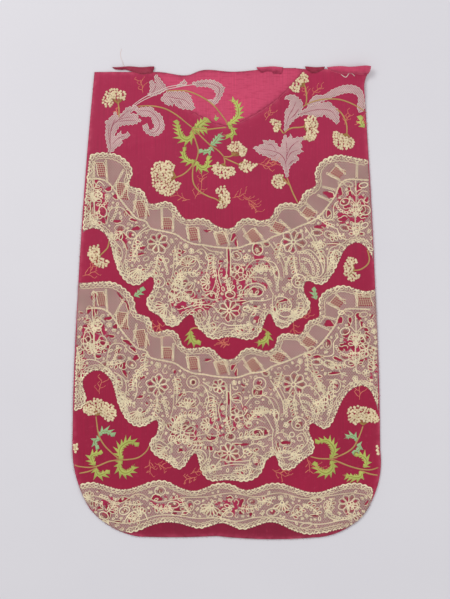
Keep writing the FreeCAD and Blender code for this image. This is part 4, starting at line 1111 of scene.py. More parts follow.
# Long stems, scrolls and outlines.
SWEEPS = [
    [(-16, 15.6), (-18, 14), (-18.4, 12), (-18.2, 9.6), (-18.8, 8)],
    [(-15.4, 15), (-17, 14.4), (-18.9, 12.6), (-19, 10)],
    [(16, 15.5), (17.6, 13.2), (18.6, 11), (20, 8.8), (19.8, 6)],
    [(17.2, 15.4), (18.4, 12.8), (19.4, 10.8), (20.7, 8.8), (20.5, 6.4)],
    [(9, 12), (10.5, 9.6), (11.5, 7.5), (11.8, 5)], [(9.6, 12.4), (11.1, 10), (12.1, 7.8), (12.4, 5.6)],
    [(-10.4, 11.8), (-10.7, 9), (-10.9, 6), (-11.6, 4)], [(-9.7, 12), (-10, 9.4), (-10.2, 7.4)],
    [(-14, 9.8), (-14.3, 8.2), (-13.6, 6), (-13.8, 5.6)], [(-13.8, 10), (-12.6, 8), (-12, 6.4)],
    [(13.8, 9.8), (14, 8), (14.4, 6)], [(13.6, 9.8), (12.4, 8), (11.9, 6.6)],
    [(15.2, 10.4), (17, 10.8), (18.6, 9.4), (19.6, 7.4), (19.4, 5.6), (17.4, 5)],
    [(14.9, 9.8), (15.1, 7.8), (16, 6.2), (17.6, 5.2)],
    [(-27.2, 25), (-27, 22), (-26.9, 19), (-26.7, 16)],
    [(26.4, 25), (26.5, 21), (26.3, 17), (26.6, 13.4)], [(-29, 21.6), (-28.2, 22.6), (-27.2, 21.2)],
    [(-25.2, 21.2), (-26, 22.7), (-27, 21.4)], [(24.8, 20), (25.4, 21.2), (26.4, 20.2)],
    [(28.4, 19.8), (27.6, 21.2), (26.5, 20)],
    [(-29, 24), (-27.9, 24.6), (-27.1, 23.2), (-26, 24.8), (-24.8, 23.8)],
    [(28.9, 22.6), (27.7, 22.8), (26.5, 21.8), (25.4, 22.9), (24.4, 22.4)],
    [(-24.4, 16), (-23.6, 19), (-21.4, 19.4), (-19.8, 17.8), (-18.6, 17.1)],
    [(19.8, 16.8), (21.8, 17.2), (21.9, 19.6), (22.9, 20.8)],
    [(16.2, 16), (18.6, 17.2), (20.4, 16), (22.8, 15)], [(22.6, 15.2), (23.4, 13.4), (24.8, 12.8)],
    [(-22.9, 13.6), (-21, 12.4), (-20.4, 10.6), (-20.8, 8.4), (-21.6, 6.6)],
    [(-23.9, 14.2), (-22.6, 12.4), (-21.7, 11.4)], [(22.6, 11.6), (21.2, 11), (20.6, 8.6), (21, 6.6)],
    [(20.4, 12), (22.8, 12), (24.4, 11.2)],
    [(-10.4, 7), (-8.5, 9.4), (-6.5, 9.3), (-5.4, 7.6), (-6.2, 6.4)],
    [(-9.8, 6.6), (-8.4, 7.4), (-6.9, 7.3), (-6.2, 8)],
    [(3.8, 6.8), (5.5, 8.6), (8, 8.7), (9.5, 7), (10, 4.6)],
    [(8.4, 8.6), (9.9, 8), (10.8, 5.8), (10.4, 3.4)], [(4.8, 5.2), (7.2, 5.1), (8.4, 4), (9.6, 1.6)],
    [(0.1, 11.2), (0.2, 8), (0, 5), (0.4, 2.4)], [(0.8, 11.2), (0.9, 8), (0.8, 5.4)],
    [(-4.8, 11.6), (-3.2, 10.6), (-1.6, 10.4), (-0.4, 9.2)],
    [(-4.4, 10.6), (-3.6, 8.4), (-4, 6.2), (-3.6, 5)], [(-6.6, 10.2), (-5, 11), (-3.6, 9.6), (-2, 8.6)],
    [(-2.6, 8), (-2, 5.4), (-2.8, 2.6), (-4.4, 1.2)], [(1.2, 8), (2.8, 7.8), (3.4, 6.4)],
    [(-16, 0.6), (-15.6, -1.8), (-13.4, -3.2), (-11, -4.2), (-9.4, -3.6)],
    [(-15.6, 0.2), (-13, -0.6), (-11, -2.4)], [(-11.6, 0.4), (-11.2, -1), (-11, -2.8)],
    [(-8.6, -1.2), (-7, -0.6), (-5, -0.4), (-3, -0.6), (-1.6, -1.8)],
    [(-8.2, 0.6), (-6.4, 0.5), (-4.2, 1), (-2.6, 0.6), (-1.2, 1)],
    [(-3.6, -1.6), (-3.4, -3.6), (-4.6, -5)],
    [(9.6, 2), (9.4, -0.4), (9.8, -2.4), (11.2, -3.8), (13, -3.6), (15, -2.4), (16.6, -0.6), (16, 1.4)],
    [(9.9, 0.4), (10.4, 1.2), (12, 1.1), (13.2, 0), (13, -1.4), (11.6, -1.4), (10.8, -0.6)],
    [(10.1, -0.4), (10.6, -2.2), (12, -2.9), (13.4, -2.4), (14.6, -1.4)],
    [(12.8, -3.1), (15, -2.2), (15.9, -1), (15.4, 0)], [(14.2, 0.4), (15.4, 1.2), (16, 0.4)],
    [(3.2, -0.2), (5, 0.4), (7.6, 0.4), (9.2, 0.9)], [(4.6, -1.4), (6, -1), (7.6, -1.6), (8.6, -1.2)],
    [(-4.6, -5.6), (-3, -6.4), (-1, -4.2), (0.4, -4.6), (3, -4.6), (5, -4.4)],
    [(-2.8, -6.2), (0, -5.4), (3, -5.2), (5.2, -5.8)], [(-2.2, -2.4), (-2.6, -3.6), (-1.4, -4)],
    [(3.2, -1.6), (3.6, -3), (2.8, -4)], [(-5, 3.2), (-4.4, 2.2), (-3, 2.4), (-1.6, 1.4)],
    [(3.4, 2.6), (4.4, 3.6), (6.2, 4), (8, 3.2)], [(-12.4, 3), (-11.6, 1.8), (-10, 1.4)],
    [(-1, 3.4), (-1.6, 6), (-1, 7.8)], [(2, 4.4), (3.6, 4.8), (4.4, 6)],
    [(-29.6, 15.6), (-28, 16.2), (-26, 15.7), (-24.6, 14.4), (-23.4, 13)],
    [(-23.5, 10.8), (-23, 8.4), (-21.4, 6)],
]
# Rows of small rings along a line.
BEAD_ROWS = [
    [(-20.4, 8.6), (-20.2, 6.6), (-18.8, 5.2), (-17, 5.2), (-15.6, 5.8)],
    [(-15.2, 8.2), (-16.4, 6.6), (-17.8, 6.1)], [(-13, 9.4), (-12.3, 7.4), (-12, 6)],
    [(13, 9.4), (12.2, 7.6), (12.3, 6)], [(14.8, 10.2), (16.6, 10.2), (18, 8.8), (18.8, 7), (18.4, 5.4)],
    [(15.6, 9), (16.8, 8.6), (17.6, 7.4), (17.8, 6)], [(15.4, 7.8), (16.2, 6.8), (16.8, 5.8)],
    [(21.6, 9.8), (21.4, 8.2), (20.8, 6.4)], [(-22.3, 9.4), (-22, 7.8)],
    [(10, 5.2), (10.4, 3.8), (10.4, 2.6)], [(9.2, -0.6), (9.6, -2), (10.6, -3.4), (12.2, -4)],
    [(-11.4, -2.2), (-10.6, -3.2), (-10.2, -4)], [(-3.4, -3), (-3.8, -4), (-3.2, -5.2)],
    [(4.4, -4), (5.2, -5.2), (4, -6.4), (2.6, -6.4)], [(-26.2, 20), (-25.2, 19.8), (-24.4, 20.8)],
    [(22.4, 20.2), (23.2, 19), (24.4, 18.4), (25.6, 18.8)], [(-28.8, 12.6), (-27.6, 14.2), (-26, 14.6)],
    [(28.6, 12.6), (27, 12.9), (25.4, 12.6)], [(-22.2, 20.2), (-22.6, 18.2), (-23.4, 16.8)],
    [(18.8, 17.6), (20.2, 16.4), (21.8, 15.8)], [(-9.6, 4.6), (-10.4, 3.6), (-10.2, 2.6)],
    [(-2, 1.2), (-1.6, 2.8), (-2, 4.4)],
]
# Places where the crimson shows through: x, y, half length, half width, turn.
GAPS = [
    (-27.6, 18.5, 2.2, 0.45, 85), (-26, 20.6, 0.6, 0.5, 0), (-28, 25, 0.8, 0.5, 90),
    (-26.6, 24.8, 0.8, 0.3, 90), (-25, 16.6, 0.5, 0.5, 0), (-24.3, 17.5, 0.5, 0.4, 0),
    (-21.2, 13.6, 1.0, 0.65, 0), (-18.4, 15.2, 0.8, 0.5, 30), (-17.3, 11.2, 0.9, 0.4, 0),
    (-17.5, 9.9, 0.8, 0.3, 10), (-19.4, 10.4, 0.6, 0.3, 90), (-20.7, 12, 1.2, 0.3, -60),
    (-8, 8.1, 1.7, 0.45, 0), (-8.4, 9.2, 0.6, 0.3, 0), (-9.7, 4.5, 1.3, 0.4, 40), (-11, 2.4, 0.5, 0.5, 0),
    (-9, 10.4, 0.8, 0.3, 0), (0.4, 9.8, 1.6, 0.35, 90), (2, 9.6, 0.6, 0.4, 0), (2.4, 10.5, 0.7, 0.25, 10),
    (6.4, 10.9, 0.8, 1.1, 0), (8.1, 12, 0.5, 0.35, 0), (0.6, 5, 0.9, 0.3, 90), (0.8, 1.7, 0.7, 0.45, -20),
    (-5.8, 0.5, 1.1, 0.3, 0), (-3.4, -0.6, 0.8, 0.5, 0), (3, 0.2, 1.5, 0.3, 0), (6, -0.9, 0.7, 0.3, 0),
    (6.1, 2.3, 1.1, 0.8, 0), (-3, 1.4, 1.0, 0.5, 0), (7.2, 7.1, 1.3, 0.6, 15), (4.6, 6.1, 0.8, 0.6, 0),
    (-1.5, -1.6, 0.6, 0.4, 0), (25.2, 22.5, 1.2, 0.4, 90), (27.6, 19, 0.9, 0.8, 0),
    (28.1, 17.7, 0.7, 0.5, 0), (23.8, 17.1, 0.9, 0.6, 0), (24.4, 19.8, 0.8, 0.5, 0),
    (21, 22.1, 1.2, 0.6, -10), (23.2, 22.8, 0.6, 0.8, 0), (20.8, 18.2, 0.8, 0.4, 90),
    (18.8, 15.4, 1.0, 0.4, 0), (19.6, 9, 1.3, 0.22, -65), (22, 12, 1.6, 0.25, 5),
    (27.3, 14.2, 0.7, 0.5, -20), (-26.4, 23, 0.8, 0.4, 30), (-24, 23.2, 0.9, 0.4, 20),
    (-22.6, 21.6, 0.6, 0.5, 0), (-20.2, 18.4, 0.9, 0.5, -30), (-19, 16.9, 0.8, 0.35, -30),
    (-22.2, 16.6, 0.8, 0.4, 10), (-28.5, 21.6, 0.5, 0.4, 0), (27, 23.6, 0.6, 0.9, 0),
    (28.6, 21, 0.5, 0.5, 0), (18, 11.8, 0.9, 0.25, -60), (-20, 6.8, 0.4, 0.3, 90),
    (-17.4, 6.6, 1.3, 0.25, 25), (16.9, 5.6, 0.8, 0.3, -35), (-15, 1.1, 0.4, 0.25, 90),
    (-13.4, -2.1, 0.8, 0.35, 5), (12, 0.5, 1.4, 0.35, 10), (10.4, -0.4, 0.9, 0.3, 80),
    (14.2, -2.4, 1.4, 0.25, 25), (5.2, -5.4, 0.45, 0.4, 0), (-9.4, -1, 0.6, 0.35, 20),
    (-7.2, 2.2, 0.7, 0.3, 90), (-7.4, 3.4, 0.7, 0.25, 40), (1.4, 13.4, 0.5, 0.8, -30),
    (2, 12.2, 0.35, 0.7, 0), (-3.8, 14.7, 0.7, 0.3, 0), (-1.2, 8.4, 0.5, 0.3, 0), (4.2, 2.6, 0.4, 0.3, 0),
    (-23.8, 13.9, 0.7, 0.35, 0), (-11.9, 4, 0.5, 0.3, 90), (1.2, 7, 0.6, 0.4, 90),
    (13, 4.9, 0.6, 0.2, 20),
]
# Extra figures of the lower flounce.
LOWER_FLOWERS = [
    (-1.5, -17, 1.6, 7, 0, 360), (-20.4, -20.4, 2.2, 6, 100, 260), (18.6, -20.6, 2.4, 6, 250, 400),
    (-28.2, -8.4, 1.6, 6, 0, 360), (28.6, -9.6, 1.6, 6, 0, 360),
]
LOWER_RINGS = [
    (-6.8, -16.2, 1.3, 1.3, 0), (6.8, -16.5, 1.3, 1.3, 0), (7, -26.5, 1.7, 1.2, 0),
    (-6.8, -16.2, 0.6, 0.6, 0), (-30, -12.4, 0.8, 1.1, 0), (29.6, -13, 0.7, 1.1, 0),
    (-24.8, -12.6, 1.1, 0.7, 20), (25.2, -12.4, 1.1, 0.7, -20),
]
LOWER_GAPS = [
    (-6.8, -16.2, 0.5, 0.5, 0), (7, -26.5, 1.4, 0.8, 0), (-27, 1.5, 0.6, 0.8, 0),
    (-27, -1.8, 1.8, 0.35, 85), (-27.6, -4.1, 1.3, 0.25, -10), (-30.2, -5, 0.5, 0.5, 0),
    (-25.6, -4.6, 0.7, 0.5, 0), (-25, -8.2, 0.8, 0.5, 0), (-27.4, -8.4, 0.5, 0.3, 0),
    (-29.4, -10.4, 0.5, 0.6, 0), (-23.4, -6.8, 0.7, 0.4, 0), (-22, -9.6, 0.8, 0.4, 30),
    (-26.2, -11, 0.7, 0.4, 0), (-30.2, -14.6, 0.35, 1.1, 0), (-29.4, -19, 0.3, 0.9, 0),
    (26, -9, 0.8, 0.4, 0), (28.8, -6.6, 0.5, 0.7, 0), (24, -8.6, 0.8, 0.5, 0),
    (22.6, -11.4, 0.9, 0.4, -30), (27.6, -11.6, 0.6, 0.5, 0), (29.8, -9.6, 0.5, 0.5, 0),
    (25.2, -3.4, 0.35, 0.9, 0), (27.6, -4.4, 0.3, 0.9, 0), (-21.4, 1, 1.3, 0.25, -55),
    (-20.2, -0.6, 1.1, 0.22, -70),
]
# The narrow lace along the hem.
HEM_FLOWERS = [
    (25, -41, 2.2, 8, 0, 360), (-3, -41.4, 2.6, 7, 170, 330), (-17.6, -43.4, 1.9, 6, 30, 200),
    (11.4, -40.8, 2.2, 6, 200, 340), (-28, -40, 1.6, 6, 40, 220),
]
HEM_RINGS = [
    (-13.5, -38.4, 1.1, 0.9, 0), (9.5, -42.7, 1.3, 0.8, 10), (16.3, -45.4, 1.2, 0.5, 15),
    (20.8, -41.6, 0.9, 1.2, 20), (-7.4, -41.4, 0.8, 1.1, 0), (5.4, -40.6, 1.1, 0.8, 0),
    (-20.8, -42.4, 1.1, 0.8, 20), (14.6, -42.4, 0.9, 1.2, 0), (-25, -43.4, 1.0, 0.7, -30),
    (-10.8, -41.2, 1.2, 0.7, 0), (18.4, -40.2, 1.2, 0.6, 0), (0.6, -43.2, 0.8, 0.5, 0),
]
HEM_SWEEPS = [
    [(-29.4, -39), (-26, -39.6), (-22, -41), (-18, -39), (-14, -40.6), (-9, -39.8), (-4, -39.6),
     (1, -38.8), (6, -39.6), (11, -38.8), (16, -40), (21, -39.4), (26, -38.8), (29.6, -39.6)],
    [(-24.6, -44.4), (-21, -45), (-18, -44.6), (-14, -43.4), (-10, -43.4), (-6, -44), (-2, -43.9),
     (2, -44.6), (6, -43.8), (10, -43.8), (14, -44.6), (19, -45.2), (24, -44.2)],
    [(-20.8, -44.6), (-19.4, -42.8), (-17, -42.6), (-16, -44.4)],
    [(20.2, -42.4), (21, -43.8), (23, -44.4), (26, -43.8)],
]
HEM_BEADS = [
    [(20.6, -40.6), (21, -42.6), (22.6, -43.8), (25.4, -44)],
    [(-15.4, -41), (-13.4, -42.4), (-11.4, -42.4)], [(6.8, -41.6), (8, -40.2), (9.8, -39.8)],
    [(-24.2, -40.2), (-22.6, -41.6), (-22.4, -43.6)],
]
HEM_GAPS = [
    (-26.6, -40.9, 0.7, 0.5, 0), (-25.8, -41.9, 0.5, 0.35, 0), (-24.4, -41.6, 0.6, 0.4, 90),
    (-24.1, -43.6, 1.0, 0.4, 60), (-22, -44.8, 1.2, 0.3, 0), (-21, -40.2, 1.3, 0.6, 0),
    (-14.2, -39.8, 1.3, 0.6, 0), (-10.6, -43, 0.5, 0.3, 0), (-8.8, -43.4, 0.5, 0.3, 0),
    (-9.5, -42.3, 1.2, 0.4, 0), (-1.2, -43, 1.1, 0.45, 65), (-2.4, -44.6, 2.0, 0.3, 0),
    (0.7, -39.8, 0.6, 0.5, 0), (3.2, -40.6, 0.8, 0.4, 90), (1, -41.7, 0.5, 0.3, 0),
    (3, -42.8, 0.5, 0.4, 0), (5, -43.1, 0.4, 0.4, 0), (12.4, -42.6, 0.5, 0.4, 0),
    (18, -43.4, 0.8, 0.3, 0), (28.4, -42.6, 0.5, 0.4, 0),
]


# Leafy branches: x, y of the root, length, direction and how far it bends, in degrees.
LEAFY_BRANCHES = [
    (-11, 3.2, 7, 88, -120), (4.2, 4, 7.4, 82, -115), (-12, 0.2, 4.6, 35, -40), (-2.4, 9.8, 4.6, 250, 40),
    (0.9, 2.2, 3.4, 95, 30), (2.2, 1.4, 4.2, 20, -30), (-4.4, 0.2, 4.2, 200, -60),
    (9.8, -3.4, 6.4, 100, -170), (26.5, 13.6, 3, 40, 70), (26.5, 13.6, 3, 140, -70),
    (26.4, 17.4, 3, 45, 70), (26.4, 17.4, 3, 135, -70), (-27, 15.8, 3, 40, 70),
    (-27, 15.8, 2.4, 140, -60), (-27, 20.4, 3, 45, 50), (-27, 20.4, 2.2, 135, -60),
    (17.2, 12.4, 4.8, 325, -50), (-17, 12.6, 4.8, 215, 50), (13.8, 9.8, 5.2, 265, 30),
    (-14, 9.8, 4.6, 270, -30), (-20.8, 14.4, 3.8, 205, -30), (20.8, 14, 3.4, 340, 30),
    (22.2, 11, 4, 250, 30), (-22.6, 11, 4, 285, -30), (13, -3, 3.8, 25, 60), (-14.4, -2.8, 4.2, 340, 30),
    (-1.6, -5, 3, 175, 20), (1.4, -5.2, 3.4, 0, 20), (11.4, 12.4, 3.4, 245, 20),
    (-10.6, 11.4, 3.6, 290, -20), (6.6, -1.6, 2.8, 190, -50), (-9.4, 3, 3.2, 60, 60),
]
LOWER_BRANCHES = [
    (-30, -14, 5, 85, 20), (-29, -20, 4.5, 80, 20), (30, -14, 5, 95, -20), (29.4, -20, 4.5, 100, -20),
    (-16, -10, 4, 240, 40), (16, -10, 4, 300, -40), (-22, -18, 4.4, 300, 40), (21, -18, 4.4, 240, -40),
]
HEM_BRANCHES = [
    (-29, -39.4, 4.2, 320, 30), (-24.4, -42.8, 3.6, 30, 50), (-17, -41, 3.8, 195, -30),
    (-15, -41.6, 3.8, 340, 30), (-7.2, -43, 3.6, 150, -50), (-5.4, -42.8, 3.8, 20, 40),
    (1.4, -41.6, 3.8, 200, 40), (2.6, -41.8, 3.8, 340, 40), (9.6, -41, 3.2, 150, 40),
    (13, -43.6, 4, 20, 30), (20, -42.8, 3.4, 30, 60), (27.6, -42, 3.2, 150, 40),
    (24.4, -43.4, 3, 340, 50), (-26.4, -43.4, 3, 300, 50), (16, -41, 3.6, 340, -30),
    (-20.4, -43.6, 2.8, 330, 20),
]
# Areas where the net is thin and the crimson shows in blotches: x, y, half width and height, strength.
THIN_AREAS = [
    (1, 4, 8.5, 5.5, 1.0), (-7, 0, 6, 4, 0.9), (6, 8, 5, 3, 0.8), (-26.5, 20, 3.2, 5.5, 1.0),
    (-21, 13.6, 2.6, 2.4, 0.8), (25.4, 19, 4.6, 5.2, 1.0), (19.5, 15.6, 3, 2, 0.7),
    (0.6, -2, 3.6, 2.4, 0.8), (-27, -7, 4, 5.5, 1.0), (-29.4, -14, 1.8, 5, 0.9),
    (26.4, -9, 3.8, 4.6, 1.0), (30, -14, 1.4, 4, 0.8), (1, -24, 8, 5, 0.7), (-8, -27, 5, 4, 0.7),
    (0.5, -31.5, 3.6, 2.6, 0.8), (-24, -41.6, 3.6, 2.6, 0.9), (-11.6, -41, 5, 2.6, 0.8),
    (1, -41.6, 5.6, 2.4, 0.9), (25, -41.4, 3, 2.6, 0.8),
]


def moved(figures, down):
    """The same figures further down the panel."""
    return [(x, y - down, *rest) for x, y, *rest in figures]


def moved_lines(lines, down):
    """The same lines further down the panel."""
    return [[(x, y - down) for x, y in line] for line in lines]


def ellipse(x, y, half_length, half_width, turn=0.0, points=16):
    """Points of an ellipse in centimetres."""
    t = np.linspace(0, 2 * math.pi, points, endpoint=False)
    a = math.radians(turn)
    across, up = half_length * np.cos(t), half_width * np.sin(t)
    return np.column_stack([x + across * math.cos(a) - up * math.sin(a),
                            y + across * math.sin(a) + up * math.cos(a)])


# Width in centimetres of the squares in which a band keeps what has been drawn.
CELL = 0.28


class Flounce:
    """One band of the lace pattern: its net outline, cords, fills and open gaps."""

    def __init__(self, node, seed):
        self.outline = outline_of(node) / CM
        self.cords = Yarns(NET_FACE)
        self.filling = Yarns(NET_FACE)
        self.fills = Yarns(NET_FACE)
        self.openings = []
        self.taken = set()
        self.chance = random.Random(seed)

    def cells(self, line):
        """The squares of the band that the points of a line fall in."""
        return {(int(round(x / CELL)), int(round(y / CELL))) for x, y in line}

    def take(self, line):
        """Marks the squares under a line, and those beside them, as drawn on."""
        for i, j in self.cells(line):
            self.taken |= {(i, j), (i + 1, j), (i - 1, j), (i, j + 1), (i, j - 1)}

    def line(self, line, width=1.0, closed=False, shade=None):
        """A cord along a line, kept to the stretches that lie on the net."""
        line = np.asarray(line, float)
        held = inside(line, self.outline)
        if shade is None:
            shade = self.chance.uniform(0.6, 1.0)
        width *= settings().cord_width
        self.take(line[held])
        if held.all():
            self.cords.stroke(line, width, closed, shade)
            return
        if closed:
            line, held = np.vstack([line, line[:1]]), np.append(held, held[0])
        run = []
        for point, keep in zip(list(line) + [line[-1]], list(held) + [False]):
            if keep:
                run.append(point)
            elif len(run) > 2:
                self.cords.stroke(np.array(run), width, False, shade)
            if not keep:
                run = []

    def fill(self, outline, shade):
        """A filled shape, when all of it lies on the net."""
        if inside(outline, self.outline).all():
            self.fills.fill(outline, 0.12 * MM, shade, 5)

    def flower(self, x, y, radius, petals, first, last):
        """Looped petals about a ring, each with a brown or crimson fill."""
        span = math.radians(last - first) / petals
        whole = radius
        for k in range(petals):
            turn = math.radians(first) + span * (k + 0.5 + self.chance.uniform(-0.1, 0.1))
            radius = whole * self.chance.uniform(0.86, 1.06)
            way, side = facing(turn)
            half = min(radius * 0.62 * math.sin(min(span, 1.2) / 2) * 1.25, radius * 0.34)
            middle = np.array([x, y])
            shape = [(0.16, 0), (0.45, 0.75), (0.72, 1.0), (1.0, 0.1), (0.74, -1.0), (0.46, -0.75)]
            loop = smooth([middle + way * radius * a + side * half * b for a, b in shape], True, 3)
            self.line(loop, 0.85, True)
            core = middle + way * radius * 0.66
            tone = self.chance.choice((0.12, 0.45, 0.6, 0.7))
            if radius > 1.2:
                self.fill(core + (loop - core) * 0.5, tone)
        self.line(ellipse(x, y, whole * 0.15, whole * 0.15, 0, 8), 0.9, True, 1.0)

    def ring(self, x, y, half_length, half_width, turn=0.0):
        """An oval cord, with a fill inside the larger ones."""
        self.line(ellipse(x, y, half_length, half_width, turn, 12), 0.95, True)
        if half_width > 0.55:
            self.fill(ellipse(x, y, half_length * 0.5, half_width * 0.5, turn, 10),
                      self.chance.choice((0.1, 0.5, 0.65)))

    def feather(self, line):
        """Small looped leaves on both sides of a stem, where there is room."""
        side = normals_of(line)
        for i in range(2, len(line) - 1, 2):
            lean = unit(line[i + 1] - line[i - 1])
            for hand in (-1, 1):
                reach = self.chance.uniform(0.65, 1.1)
                way = lean * 0.72 + side[i] * hand * 0.7
                across = np.array([-way[1], way[0]]) * 0.2 * reach
                middle, tip = line[i] + way * reach * 0.6, line[i] + way * reach
                if self.cells([middle, tip]) & self.taken:
                    continue
                leaf = [line[i] + way * 0.1, middle + across, tip, middle - across]
                self.line(smooth(leaf, True, 2), 0.75, True)

    def beads(self, line):
        """A row of small rings."""
        for x, y in evenly(smooth(line), 0.62):
            self.line(ellipse(x, y, 0.27, 0.24, 0, 8), 0.7, True, 0.95)

    def bar(self, ax, ay, bx, by):
        """A twisted bar: two cords that cross and part again."""
        line = evenly(np.array([(ax, ay), (bx, by)]), 0.18)
        sway = np.sin(lengths_along(line) * 2 * math.pi / 1.2) * 0.21
        for way in (-1, 1):
            self.line(line + normals_of(line) * (way * sway)[:, None], 0.75, shade=0.8)

    def spray(self, x, y, length, turn, bend):
        """A bending branch with looped leaves along both sides, some open to the crimson."""
        pairs = max(3, int(length / 0.85))
        heading = math.radians(turn)
        points = [np.array([x, y], float)]
        for _ in range(2 * pairs):
            heading += math.radians(bend) / (2 * pairs)
            points.append(points[-1] + facing(heading)[0] * length / (2 * pairs))
        stem = np.array(points)
        self.line(stem, 0.95, shade=0.9)
        side = normals_of(stem)
        for i in range(1, len(stem) - 1, 2):
            lean = unit(stem[i + 1] - stem[i - 1])
            for hand in (-1, 1):
                reach = (1.3 - 0.6 * i / len(stem)) * self.chance.uniform(0.8, 1.15)
                reach *= 1.1 if hand * bend < 0 else 0.75
                way = lean * 0.62 + side[i] * hand * 0.78
                across = np.array([-way[1], way[0]]) * 0.24 * reach
                root, middle, tip = stem[i] + way * 0.12, stem[i] + way * reach * 0.6, stem[i] + way * reach
                loop = smooth([root, middle + across, tip, middle - across], True, 2)
                self.line(loop, 0.85, True, self.chance.uniform(0.7, 1.0))
                core = loop.mean(0)
                self.fill(core + (loop - core) * 0.62, self.chance.choice((0.0, 0.0, 0.1, 0.6)))

    def gap(self, x, y, half_length, half_width, turn=0.0):
        """An irregular opening in the net, with a cord along part of its edge."""
        ring = ellipse(x, y, half_length, half_width, turn, 14)
        t = np.linspace(0, 2 * math.pi, 14, endpoint=False)
        first, second = self.chance.uniform(0, 6), self.chance.uniform(0, 6)
        swell = 1 + 0.2 * np.sin(2 * t + first) + 0.16 * np.sin(3 * t + second)
        ring = np.array([x, y]) + (ring - np.array([x, y])) * swell[:, None]
        if inside(ellipse(x, y, half_length + 0.2, half_width + 0.2, turn), self.outline).all():
            self.openings.append(ring * CM)
            start = self.chance.randrange(14)
            self.line(np.roll(ring, start, axis=0)[:self.chance.choice((6, 8, 10))], 0.8)

    def check(self, x, y, width, height, turn):
        """An openwork panel: crimson with fine crossed bars."""
        right, up = facing(math.radians(turn))
        middle = np.array([x, y])
        width *= 1.7
        lean = right * height * 0.12
        corner = [middle + right * width / 2 * i + (up * height / 2 - lean) * j
                  for i, j in CORNERS]
        if not inside(corner, self.outline).all():
            return
        self.openings.append(np.array(corner) * CM)
        self.take(evenly(np.array([corner[0], corner[2]]), 0.25))
        for pair in ((0, 3), (1, 2)):
            side = evenly(np.array([corner[k] for k in pair]), 0.2)
            self.line(wavering(side, 0.13, x + pair[0]), 0.85, shade=0.85)
        self.line(evenly(np.array([corner[3], corner[2]]), 0.3), 0.7)
        for share in np.linspace(-0.5, 0.5, int(height / 0.4) + 1)[1:-1]:
            start = middle + (up * height - 2 * lean) * share
            row = np.array([start - right * width / 2, start + right * width / 2])
            self.line(evenly(row, 0.3), 0.55, shade=0.45)
        for share in np.linspace(-0.5, 0.5, int(width / 0.4) + 1)[1:-1]:
            start = middle + right * width * share
            post = np.array([start - up * height / 2 + lean, start + up * height / 2 - lean])
            self.line(evenly(post, 0.3), 0.55, shade=0.45)

    def filler(self, reach):
        """Sprigs, curls, leaves and rings wherever the pattern leaves the net bare."""
        low, high = self.outline.min(0), self.outline.max(0)
        drawn, self.cords = self.cords, self.filling
        for smallest, largest, tries in ((0.8, 1.15, 2500), (0.5, 0.75, 6000), (0.3, 0.45, 9000)):
            for _ in range(tries):
                x = self.chance.uniform(low[0], high[0])
                y = self.chance.uniform(low[1], high[1])
                turn = self.chance.uniform(0, 360)
                size = self.chance.uniform(smallest, largest)
                kind = self.chance.randrange(6)
                if self.cells([(x, y)]) & self.taken or not reach(x, y):
                    continue
                spot = ellipse(x, y, size * 0.85, size * 0.6, turn, 12)
                clash = len(self.cells(spot) & self.taken)
                if clash > 2 or not inside(spot, self.outline).all():
                    continue
                self.figure(kind, x, y, size, turn)
        self.cords = drawn

    def figure(self, kind, x, y, size, turn):
        """One small figure of the filling."""
        a = math.radians(turn)
        way, side = facing(a)
        middle = np.array([x, y])
        if kind == 0:
            self.line(ellipse(x, y, size * 0.7, size * 0.42, turn, 10), 0.8, True)
        elif kind == 1 and size > 0.45:
            self.flower(x, y, size, 5, turn, turn + 360)
        elif kind == 2 and size > 0.45:
            self.gap(x, y, size * 0.55, size * 0.3, turn)
        elif kind == 3:
            t = a + np.linspace(0, 4.6, 9)
            away = np.linspace(size * 0.85, size * 0.15, 9)
            self.line(np.column_stack([x + away * np.cos(t), y + away * np.sin(t)]), 0.85)
        else:
            stem = smooth([middle - way * size * 0.8, middle + side * size * 0.18, middle + way * size * 0.8])
            self.line(stem, 0.7)
            for share in (-0.4, 0.1, 0.55):
                for hand in (-1, 1):
                    root = middle + way * size * share
                    tip = root + way * size * 0.35 + side * hand * size * 0.5
                    leaf = (root + tip) / 2 + (way * -0.12 + side * hand * 0.12) * size
                    self.line(np.array([root, leaf, tip]), 0.8)

    def edges(self, panel):
        """The stretches of the outline that are scalloped, not cut off at the panel's side."""
        ring = evenly(np.vstack([self.outline, self.outline[:1]]), 0.3)[:-1]
        free = gap_to(ring, panel) > 0.25
        start = int(np.flatnonzero(~free)[0])
        ring, free = np.roll(ring, -start, axis=0), np.roll(free, -start)
        runs, run = [], []
        for point, loose in zip(ring, free):
            if loose:
                run.append(point)
            elif run:
                runs.append(np.array(run))
                run = []
        if run:
            runs.append(np.array(run))
        return [run for run in runs if len(run) > 20]

    def inset(self, edge, depth):
        """A line that runs inside a scalloped edge at a depth."""
        line = edge + normals_of(edge) * depth
        line = line[gap_to(line, edge, False) > 0.93 * depth]
        for _ in range(3):
            line[1:-1] = (line[:-2] + 2 * line[1:-1] + line[2:]) / 4
        return evenly(line, 0.3)

    def edging(self, panel, depth):
        """Ruffled cords along each scalloped edge; returns the lines for the loops between them."""
        middles = []
        for edge in self.edges(panel):
            outer = evenly(self.inset(edge, 0.16), 0.2)
            ruffle = np.abs(np.sin(lengths_along(outer) * math.pi / 1.15)) - 0.5
            self.line(outer - normals_of(outer) * (ruffle * 0.34)[:, None], 1.2, shade=1.0)
            inner = evenly(self.inset(edge, depth), 0.2)
            ruffle = np.abs(np.sin(lengths_along(inner) * math.pi / 0.9))
            self.line(inner + normals_of(inner) * (ruffle * 0.2)[:, None], 0.85, shade=0.7)
            middle = self.inset(edge, depth * 0.55)
            middle = middle[inside(middle, panel) & (gap_to(middle, panel) > 0.5)]
            self.take(middle)
            middles.append(middle)
        return middles


# ---- Operators: one for each piece or group of like pieces -----------------------------------

WORK = {}


